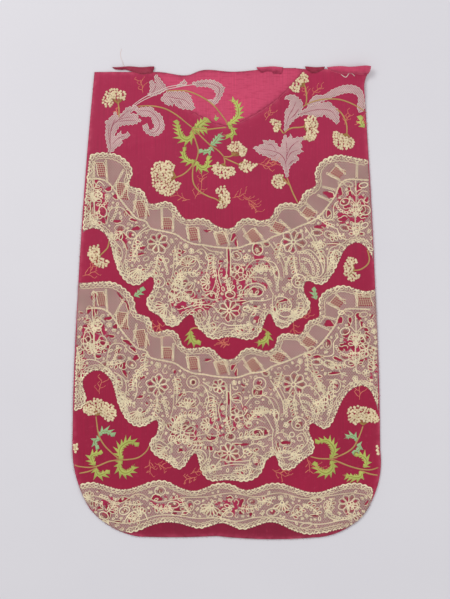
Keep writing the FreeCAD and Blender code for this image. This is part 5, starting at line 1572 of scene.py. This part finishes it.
# Lamps of the studio: name, place and width in metres, power in watts.
LAMPS = (
    ("key", (-2.0, 1.7, 2.6), 1.5, 48),
    ("fill", (2.6, -0.2, 3.2), 2.6, 34),
)


class StageOperator(bpy.types.Operator):
    """Lays the pale floor and sets the world, the lights and the camera"""
    bl_idname = "chasuble.stage"
    bl_label = "Stage"

    def execute(self, context):
        scene = context.scene
        reach = 6.0
        corners = [(reach * i, reach * j, 0) for i, j in CORNERS]
        floor = new_mesh("studio_floor", corners, [(0, 1, 2, 3)])
        paper = Finish("studio paper", 0.9)
        grey, pale = linear((0.862, 0.853, 0.868)), linear((0.872, 0.864, 0.876))
        paper.colour(paper.ramp(paper.noise(3, 3), (0.3, grey), (0.7, pale)))
        floor.materials.append(paper.material)
        new_object("studio_floor", floor)

        world = bpy.data.worlds.new("studio")
        world.use_nodes = True
        sky = world.node_tree.nodes["Background"]
        sky.inputs["Color"].default_value = (0.95, 0.95, 0.98, 1)
        sky.inputs["Strength"].default_value = 0.62
        scene.world = world
        for name, place, size, power in LAMPS:
            lamp = bpy.data.lights.new(name, "AREA")
            lamp.size = size
            lamp.energy = power
            holder = bpy.data.objects.new(name, lamp)
            holder.location = place
            holder.rotation_euler = (-Vector(place)).to_track_quat("-Z", "Y").to_euler()
            scene.collection.objects.link(holder)

        camera = bpy.data.objects.new("camera", bpy.data.cameras.new("camera"))
        camera.data.lens = 85
        camera.data.sensor_fit = "VERTICAL"
        camera.data.sensor_height = 36
        camera.location = (-0.00265, 0.0067, 2.889)
        scene.collection.objects.link(camera)
        scene.camera = camera
        scene.view_settings.view_transform = "Standard"
        return {"FINISHED"}


# The loose thread's route in millimetres, from the left turning to its bare end.
LOOSE_THREAD = [
    (-209, 482.4, 3.6), (-209.6, 485.6, 2.6), (-210.8, 489.0, 1.2), (-212.4, 493.4, 0.4),
    (-214.8, 499.2, 0.3), (-216.4, 505.6, 0.3), (-216.0, 512.4, 0.3), (-213.8, 518.4, 0.3),
]
THREAD_DIAMETER = 0.6 * MM


class LooseThreadOperator(bpy.types.Operator):
    """Lays the loose linen thread that falls from the left turning"""
    bl_idname = "chasuble.loose_thread"
    bl_label = "Loose thread"

    def execute(self, context):
        curve = bpy.data.curves.new("loose_thread_line", "CURVE")
        curve.dimensions = "3D"
        spline = curve.splines.new("NURBS")
        spline.points.add(len(LOOSE_THREAD) - 1)
        for point, place in zip(spline.points, LOOSE_THREAD):
            point.co = (*(Vector(place) * MM), 1)
        spline.order_u = 3
        spline.use_endpoint_u = True
        curve.bevel_depth = THREAD_DIAMETER / 2
        curve.use_fill_caps = True
        curve.materials.append(yarn("linen thread", linear((0.90, 0.80, 0.76)), linear((0.95, 0.90, 0.86))))
        piece = bpy.data.objects.new("loose_linen_thread", curve)
        context.scene.collection.objects.link(piece)
        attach(piece, "root")
        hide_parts("loose_thread")
        return {"FINISHED"}


# Height on the panel at which the lining and the interlining stop.
LINING_TOP = 0.462


class LiningOperator(bpy.types.Operator):
    """Lays the silk lining and the heavier linen interlining under the silk panel"""
    bl_idname = "chasuble.linings"
    bl_label = "Lining and interlining"

    def execute(self, context):
        cloth = (
            ("lining", "lining_silk", LINING_FACE, 0.4 * MM, (0.60, 0.30, 0.32), 1.1 * MM, []),
            ("interlining", "interlining_linen", INTERLINING_FACE, 0.8 * MM, (0.80, 0.75, 0.65), 1.8 * MM,
             ["lining"]),
        )
        for node, slot, face, thickness, colour, pitch, below in cloth:
            outline = outline_of(node)
            outline[:, 1] = np.minimum(outline[:, 1], LINING_TOP)
            weave = plain_weave(node + " weave", colour, pitch)
            piece = laid_cloth(node + "_cloth", outline, face, thickness, 8 * MM, weave, creased=False)
            finished(piece, slot, node)
            WORK[node] = piece
        return {"FINISHED"}


class SilkPanelOperator(bpy.types.Operator):
    """Lays the crimson silk panel"""
    bl_idname = "chasuble.silk_panel"
    bl_label = "Silk panel"

    def execute(self, context):
        silk = woven_silk("crimson silk", linear(settings().crimson), linear(settings().sheen_paled_crimson))
        outline = outline_of("main_panel")
        piece = laid_cloth("silk_panel", outline, SILK_FACE, SILK_THICKNESS, 5 * MM, silk)
        finished(piece, "crimson_silk", "main_panel")
        WORK["panel"], WORK["silk"], WORK["outline"] = piece, silk, outline
        return {"FINISHED"}


class NeckPatchOperator(bpy.types.Operator):
    """Lays the paler silk patch pieced into the neck"""
    bl_idname = "chasuble.neck_patch"
    bl_label = "Neck patch"

    def execute(self, context):
        rose = linear(settings().patch)
        # The dark edge tone paints shade round the patch, along its seam with the panel.
        silk = woven_silk("pink silk", rose, rose, 0.9, 0.34, linear((0.50, 0.08, 0.20)))
        outline = outline_of("neck_insert")
        piece = laid_cloth("neck_patch", outline, SILK_FACE, SILK_THICKNESS, 4 * MM, silk)
        finished(piece, "pink_silk", "neck_insert")
        WORK["patch"], WORK["pink"] = piece, silk
        return {"FINISHED"}


def folded_strip(name, node, material, seed, profile):
    """An allowance folded back on itself, crumpled along its length."""
    low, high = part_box(node)
    tall = high.z - low.z
    chance = random.Random(seed)
    knots = [chance.uniform(0, 2 * math.pi) for _ in range(6)]
    count = int((high.x - low.x) / (2 * MM)) + 1
    xs = np.linspace(low.x, high.x, count)
    rows = []
    for x in xs:
        share = (x - low.x) / (high.x - low.x)
        ends = min(1, 9 * min(share, 1 - share) + 0.25)
        depth = np.interp(share, [place for place, _ in profile], [part for _, part in profile])
        depth *= math.sqrt(min(1, 14 * min(share, 1 - share) + 0.08))
        sway = sum(math.sin(x * f + k) for f, k in zip((90, 170, 310), knots)) / 3
        lump = sum(math.sin(x * f + k) for f, k in zip((60, 140, 260), knots[3:])) / 3
        top = tall * (0.74 + 0.24 * lump) * ends
        outer = high.y - (0.8 + 0.8 * math.sin(x * 120 + knots[1])) * MM
        inner = outer - (outer - low.y - (1.5 + 1.5 * sway) * MM) * depth
        top = min(top, (outer - inner) * 0.7)
        section = [(inner, 0.1 * MM), ((inner + outer) / 2, 0.1 * MM)]
        base = 0.35 * MM
        for angle in np.linspace(-80, 100, 7):
            a = math.radians(angle)
            section.append((outer - top / 2 + math.cos(a) * top / 2, base + top / 2 + math.sin(a) * top / 2))
        section.append((inner + 2 * MM, base + top * 0.62))
        rows.append([(x, y, low.z + z) for y, z in section])
    k = len(rows[0])
    points = np.array([p for row in rows for p in row])
    points[:, 2] += relief(points[:, 0], points[:, 1])
    faces = [(i * k + s, (i + 1) * k + s, (i + 1) * k + s + 1, i * k + s + 1)
             for i in range(count - 1) for s in range(k - 1)]
    mesh = new_mesh(name, points.tolist(), faces)
    mark_points(mesh, "worn", [1.0 if i % k in (0, k - 1) else 0.25 for i in range(len(points))])
    mesh.materials.append(material)
    return thickened(new_object(name, mesh), FOLDED_THICKNESS, 0)


class TurningsOperator(bpy.types.Operator):
    """Folds the seam allowances along the shoulders and the neck"""
    bl_idname = "chasuble.turnings"
    bl_label = "Turned edges"

    def execute(self, context):
        # Lit and shaded copies of the crimson silk: the turned silk is painted darker as shade in the
        # turnings, the rolled silk paler as a painted highlight on the crest of the corner roll.
        dark = woven_silk("shaded turned silk", linear((0.50, 0.02, 0.16)), linear((0.55, 0.05, 0.20)), 1)
        rolled = woven_silk("highlit rolled silk", linear((0.60, 0.07, 0.23)), linear((0.72, 0.20, 0.34)), 1)
        strips = (
            ("left_turning", "left_shoulder_turning", "crimson_silk", dark, 3,
             [(0, 0.28), (0.3, 0.38), (0.55, 0.75), (0.75, 1), (1, 0.85)]),
            ("neck_allowance", "neck_turning", "pink_silk", WORK["pink"], 8,
             [(0, 0.4), (0.12, 0.6), (0.14, 0.85), (0.6, 0.7), (0.62, 1), (1, 1)]),
            ("right_knot", "right_shoulder_knot", "crimson_silk", dark, 5,
             [(0, 0.3), (0.3, 1), (0.55, 0.9), (1, 0.35)]),
            ("right_roll", "right_shoulder_roll", "crimson_silk", rolled, 9,
             [(0, 0.3), (0.2, 0.7), (0.5, 0.9), (1, 0.95)]),
        )
        for name, node, slot, cloth, seed, profile in strips:
            finished(folded_strip(name, node, cloth, seed, profile), slot, node)
        return {"FINISHED"}


# In centimetres: the heading lies above the first height and the sides beyond the second
# distance from the middle; the lower flounce repeats the upper one this far down.
HEADING_LOW = 11
SIDES_FROM = 18
HEADING_STEP = 26.4
LOBE_STEP = 29.1


def stepped(figures, down, lobes):
    """The figures moved down: those of the heading and the sides by one step, the rest by another."""
    for x, y, *rest in figures:
        yield x, y - (down if y > HEADING_LOW or abs(x) > SIDES_FROM else lobes), *rest


def upper_pattern(band, down, lobes):
    """The figures of a flounce, its heading moved down by one step and its lobes by another."""
    for figure in moved(CHECKS, down):
        band.check(*figure)
    for figure in stepped(GAPS, down, lobes):
        band.gap(*figure)
    for figure in moved(FLOWERS, lobes):
        band.flower(*figure)
    stems = []
    for line in moved_lines(SWEEPS, lobes if lobes == down else (down + lobes) / 2):
        line = evenly(smooth(line), 0.28)
        band.line(line, 0.9)
        stems.append(line)
    foot = evenly(smooth(moved_lines([HEADING_FOOT], down)[0]), 0.2)
    for way in (-1, 1):
        sway = np.sin(lengths_along(foot) * math.pi / 0.8) * 0.12 * way
        band.line(foot + normals_of(foot) * sway[:, None], 0.8, shade=0.8)
    for figure in stepped(LEAFY_BRANCHES, down, lobes):
        band.spray(*figure)
    for ax, ay, bx, by in BARS:
        band.bar(ax, ay - down, bx, by - down)
    for figure in stepped(RINGS, down, lobes):
        band.ring(*figure)
    for line in moved_lines(BEAD_ROWS, lobes):
        band.beads(line)
    for line in stems:
        band.feather(line)


def own_figures(band, gaps, flowers, rings, branches):
    """The figures that one band alone has, drawn in this order."""
    for draw, figures in (
            (band.gap, gaps), (band.flower, flowers), (band.ring, rings), (band.spray, branches)):
        for figure in figures:
            draw(*figure)


def below_heading(down):
    """A test for places below the band of openwork panels."""
    foot = smooth([(x, y - down) for x, y in HEADING_FOOT])

    def test(x, y):
        return y < np.interp(x, foot[:, 0], foot[:, 1]) - 0.6
    return test


class LaceOperator(bpy.types.Operator):
    """Lays the three bands of lace pattern: net, cords, petal fills and edge loops"""
    bl_idname = "chasuble.lace"
    bl_label = "Lace bands"

    def execute(self, context):
        cream = yarn("cream cord", linear((0.64, 0.46, 0.38)), linear(settings().cord))
        petal = yarn("petal fill", linear((0.66, 0.12, 0.28)), linear((0.60, 0.46, 0.40)), 0.9 * MM, 0.1)
        net = crossed_weft("net weft", settings().mesh_pitch, settings().net,
                           (0.60, 0.18, 0.29), (0.52, 0.28, 0.27))
        panel = WORK["outline"] / CM
        tree = along_tree()
        WORK["on_silk"] = []
        for name, seed, depth in (("upper", 21, 1.02), ("lower", 22, 1.02), ("hem", 23, 0.85)):
            band = Flounce(name + "_lace_net", seed)
            middles = band.edging(panel, depth)
            if name == "upper":
                upper_pattern(band, 0, 0)
                band.filler(below_heading(0))
            elif name == "lower":
                own_figures(band, LOWER_GAPS, LOWER_FLOWERS, LOWER_RINGS, LOWER_BRANCHES)
                upper_pattern(band, HEADING_STEP, LOBE_STEP)
                band.filler(below_heading(HEADING_STEP))
            else:
                own_figures(band, HEM_GAPS, HEM_FLOWERS, HEM_RINGS, HEM_BRANCHES)
                for line in HEM_SWEEPS:
                    line = evenly(smooth(line), 0.28)
                    band.line(line)
                    band.feather(line)
                for line in HEM_BEADS:
                    band.beads(line)
                band.filler(lambda x, y: True)
            self.lay(name, band, middles, net, cream, petal, tree)
        bpy.data.node_groups.remove(tree)
        return {"FINISHED"}

    def lay(self, name, band, middles, net, cream, petal, tree):
        """Makes the pieces of one band."""
        sheet = laid_cloth(name + "_net", band.outline * CM, NET_FACE, NET_THICKNESS, 5 * MM, net,
                           band.openings)
        places = np.array([v.co.xy[:] for v in sheet.data.vertices]) / CM
        thin = np.zeros(len(places))
        for x, y, half_width, half_height, strength in THIN_AREAS:
            away = np.hypot((places[:, 0] - x) / half_width, (places[:, 1] - y) / half_height)
            thin = np.maximum(thin, strength * np.clip(1.8 - 1.6 * away, 0, 1))
        mark_points(sheet.data, "open", thin)
        cords = finished(band.cords.piece(name + "_cords", cream), "cream_weft", name + "_lace_cord")
        filling = finished(band.filling.piece(name + "_filling", cream), "cream_weft")
        fills = finished(band.fills.piece(name + "_petals", petal), "cream_weft")
        paths = path_mesh(name + "_loop_paths", [line * CM for line in middles], NET_FACE + 0.3 * MM)
        loops = grown(name + "_edge_loops", tree, paths, oval_loop(8.6 * MM, 5.6 * MM, 1.1 * MM), cream,
                      9.2 * MM, 0.7, 0.6, 4)
        finished(loops, "cream_weft")
        finished(sheet, "net_weft", name + "_lace_net")
        WORK["on_silk"] += [sheet, cords, filling, fills, loops]


class SpraysOperator(bpy.types.Operator):
    """Lays the brocaded sprays: stems, leaves, flower heads and coral sprigs"""
    bl_idname = "chasuble.sprays"
    bl_label = "Brocaded sprays"

    def execute(self, context):
        ground, outlines = draw_silver()
        made = (
            ("spray_stems", draw_stems(), "olive_weft", "vine_stems",
             yarn("olive yarn", linear((0.52, 0.36, 0.12)), linear((0.86, 0.70, 0.44)))),
            ("silver_outlines", outlines, "silver_weft", "silver_leaves",
             yarn("silver floss", linear((0.62, 0.20, 0.32)), linear((0.80, 0.68, 0.65)), 0.8 * MM, 0.3,
                  linear((0.92, 0.84, 0.80)))),
            ("thistle_foliage", draw_thistles(), "green_weft", "thistle_leaves",
             yarn("green floss", linear((0.50, 0.50, 0.14)), linear((0.77, 0.80, 0.40)), 0.8 * MM, 0.3,
                  linear((0.62, 0.77, 0.58)))),
            ("coral_twigs", draw_sprigs(), "coral_weft", "coral_sprigs",
             yarn("coral silk", linear((0.74, 0.26, 0.26)), linear((0.90, 0.56, 0.42)))),
        )
        for name, drawn, slot, node, floss in made:
            WORK["on_silk"].append(finished(drawn.piece(name, floss), slot, node))
        openwork = crossed_weft("silver weft", 3.2 * MM, (0.83, 0.71, 0.69),
                                (0.58, 0.16, 0.28), (0.62, 0.28, 0.36))
        WORK["on_silk"].append(finished(ground.piece("silver_foliage", openwork), "silver_weft"))
        heads = Yarns(SILK_FACE + 0.3 * MM)
        for outline in FLOWER_HEADS:
            heads.fill(smooth(outline, True, 3), 0.1 * MM, 0.5, 0.6)
        floret = yarn("floret floss", linear((0.70, 0.54, 0.36)), linear((0.93, 0.86, 0.70)), 1 * MM, 0.3)
        base = heads.piece("floret_ground", floret)
        faces = bmesh.new()
        faces.from_mesh(base.data)
        faces.normal_update()
        bmesh.ops.delete(faces, geom=[f for f in faces.faces if f.normal.z < 0.5], context="FACES")
        upper = mesh_from(faces, "floret_faces")
        bpy.data.objects.remove(base)
        tree = scatter_tree()
        tufts = grown("flower_heads", tree, upper, tuft(), floret, settings().tuft_size * 0.7, 0.9, 3.1, 6)
        bpy.data.node_groups.remove(tree)
        WORK["on_silk"].append(finished(tufts, "floret_weft", "umbel_florets"))
        return {"FINISHED"}


# The tacking ends at this height on the panel; the sides lie beyond this distance across it.
TACKED_TO = 0.44
SIDE_AT = 0.27


class ThreadworkOperator(bpy.types.Operator):
    """Sews the neck seam and the edge tacking, and frays the right side"""
    bl_idname = "chasuble.threadwork"
    bl_label = "Stitches and frays"

    def execute(self, context):
        panel, patch = WORK["outline"], outline_of("neck_insert")
        tree = along_tree()
        shared = patch[gap_to(patch, panel) < 0.3 * MM]
        seam = evenly(shared[np.argsort(shared[:, 0])], 2 * MM) - np.array([0, 3 * MM])
        silk = yarn("sewing silk", linear((0.52, 0.10, 0.22)), linear((0.80, 0.36, 0.46)))
        stitch = small_tube("stitch", [(-1.5 * MM, 0, 0), (-0.5 * MM, 0, 0.4 * MM), (0.5 * MM, 0, 0.4 * MM),
                                       (1.5 * MM, 0, 0)], 0.4 * MM)
        row = grown("seam_stitches", tree, path_mesh("seam", [seam], SILK_FACE + 0.05 * MM), stitch, silk,
                    5 * MM, 0.8, 0.15, 2)
        WORK["on_silk"].append(finished(row, "sewing_silk", "neck_seam_stitches"))

        linen = yarn("tacking thread", linear((0.70, 0.62, 0.50)), linear((0.88, 0.83, 0.74)))
        ring = evenly(np.vstack([panel, panel[:1]]), 4 * MM)
        ring = ring[ring[:, 1] < TACKED_TO]
        start = int(np.argmax(np.linalg.norm(np.roll(ring, -1, axis=0) - ring, axis=1))) + 1
        ring = np.roll(ring, -start, axis=0)
        tack_line = ring + normals_of(ring) * 6 * MM
        tack = small_tube("tack", [(-3 * MM, 0, 0), (0, 0, 0.05 * MM), (3 * MM, 0, 0)], 0.3 * MM)
        middle = (LINING_FACE + INTERLINING_FACE) / 2
        tacks = grown("tacking", tree, path_mesh("tacks", [tack_line], middle), tack, linen,
                      12 * MM, 0.9, 0.1, 3)
        finished(tacks, "linen_thread", "edge_tacking")

        wisp = small_tube("wisp", [(0, 0, 0), (0.3 * MM, -1.2 * MM, 0), (0.1 * MM, -2.6 * MM, -0.2 * MM),
                                   (0.8 * MM, -4 * MM, -0.5 * MM)], 0.14 * MM, 3)
        x, y = ring.T
        side = ring[(x > SIDE_AT) & (y > -0.2)]
        hem = ring[y < -0.40]
        left = ring[(x < -SIDE_AT) & (y < 0.2) & (y > -0.36)]
        frayed = path_mesh("frayed", [side, hem, left], SILK_FACE - 0.4 * MM)
        frays = grown("edge_fraying", tree, frayed, wisp, WORK["silk"], 2.6 * MM, 0.35, 0.7, 9)
        WORK["on_silk"].append(finished(frays, "crimson_silk", "edge_frays"))
        bpy.data.node_groups.remove(tree)

        for name, node, riders in (("panel", "main_panel", WORK["on_silk"]), ("patch", "neck_insert", [])):
            outline = outline_of(node)
        return {"FINISHED"}


class ChasublePanel(bpy.types.Panel):
    """Lists the pieces of the chasuble half"""
    bl_idname = "CHASUBLE_PT_pieces"
    bl_label = "Chasuble half"
    bl_space_type = "VIEW_3D"
    bl_region_type = "UI"
    bl_category = "Chasuble"

    def draw(self, context):
        for name in ChasubleSettings.__annotations__:
            self.layout.prop(context.scene.chasuble, name)
        for operator in OPERATORS:
            self.layout.operator(operator.bl_idname)


OPERATORS = (
    StageOperator, LooseThreadOperator, LiningOperator, SilkPanelOperator, NeckPatchOperator,
    TurningsOperator, LaceOperator, SpraysOperator, ThreadworkOperator,
)


def register():
    for kind in (ChasubleSettings, *OPERATORS, ChasublePanel):
        bpy.utils.register_class(kind)
    bpy.types.Scene.chasuble = bpy.props.PointerProperty(type=ChasubleSettings)


def unregister():
    del bpy.types.Scene.chasuble
    for kind in reversed((ChasubleSettings, *OPERATORS, ChasublePanel)):
        bpy.utils.unregister_class(kind)


def main():
    """Lays every piece in order."""
    register()
    for operator in OPERATORS:
        group, name = operator.bl_idname.split(".")
        getattr(getattr(bpy.ops, group), name)()


if __name__ == "__main__":
    main()
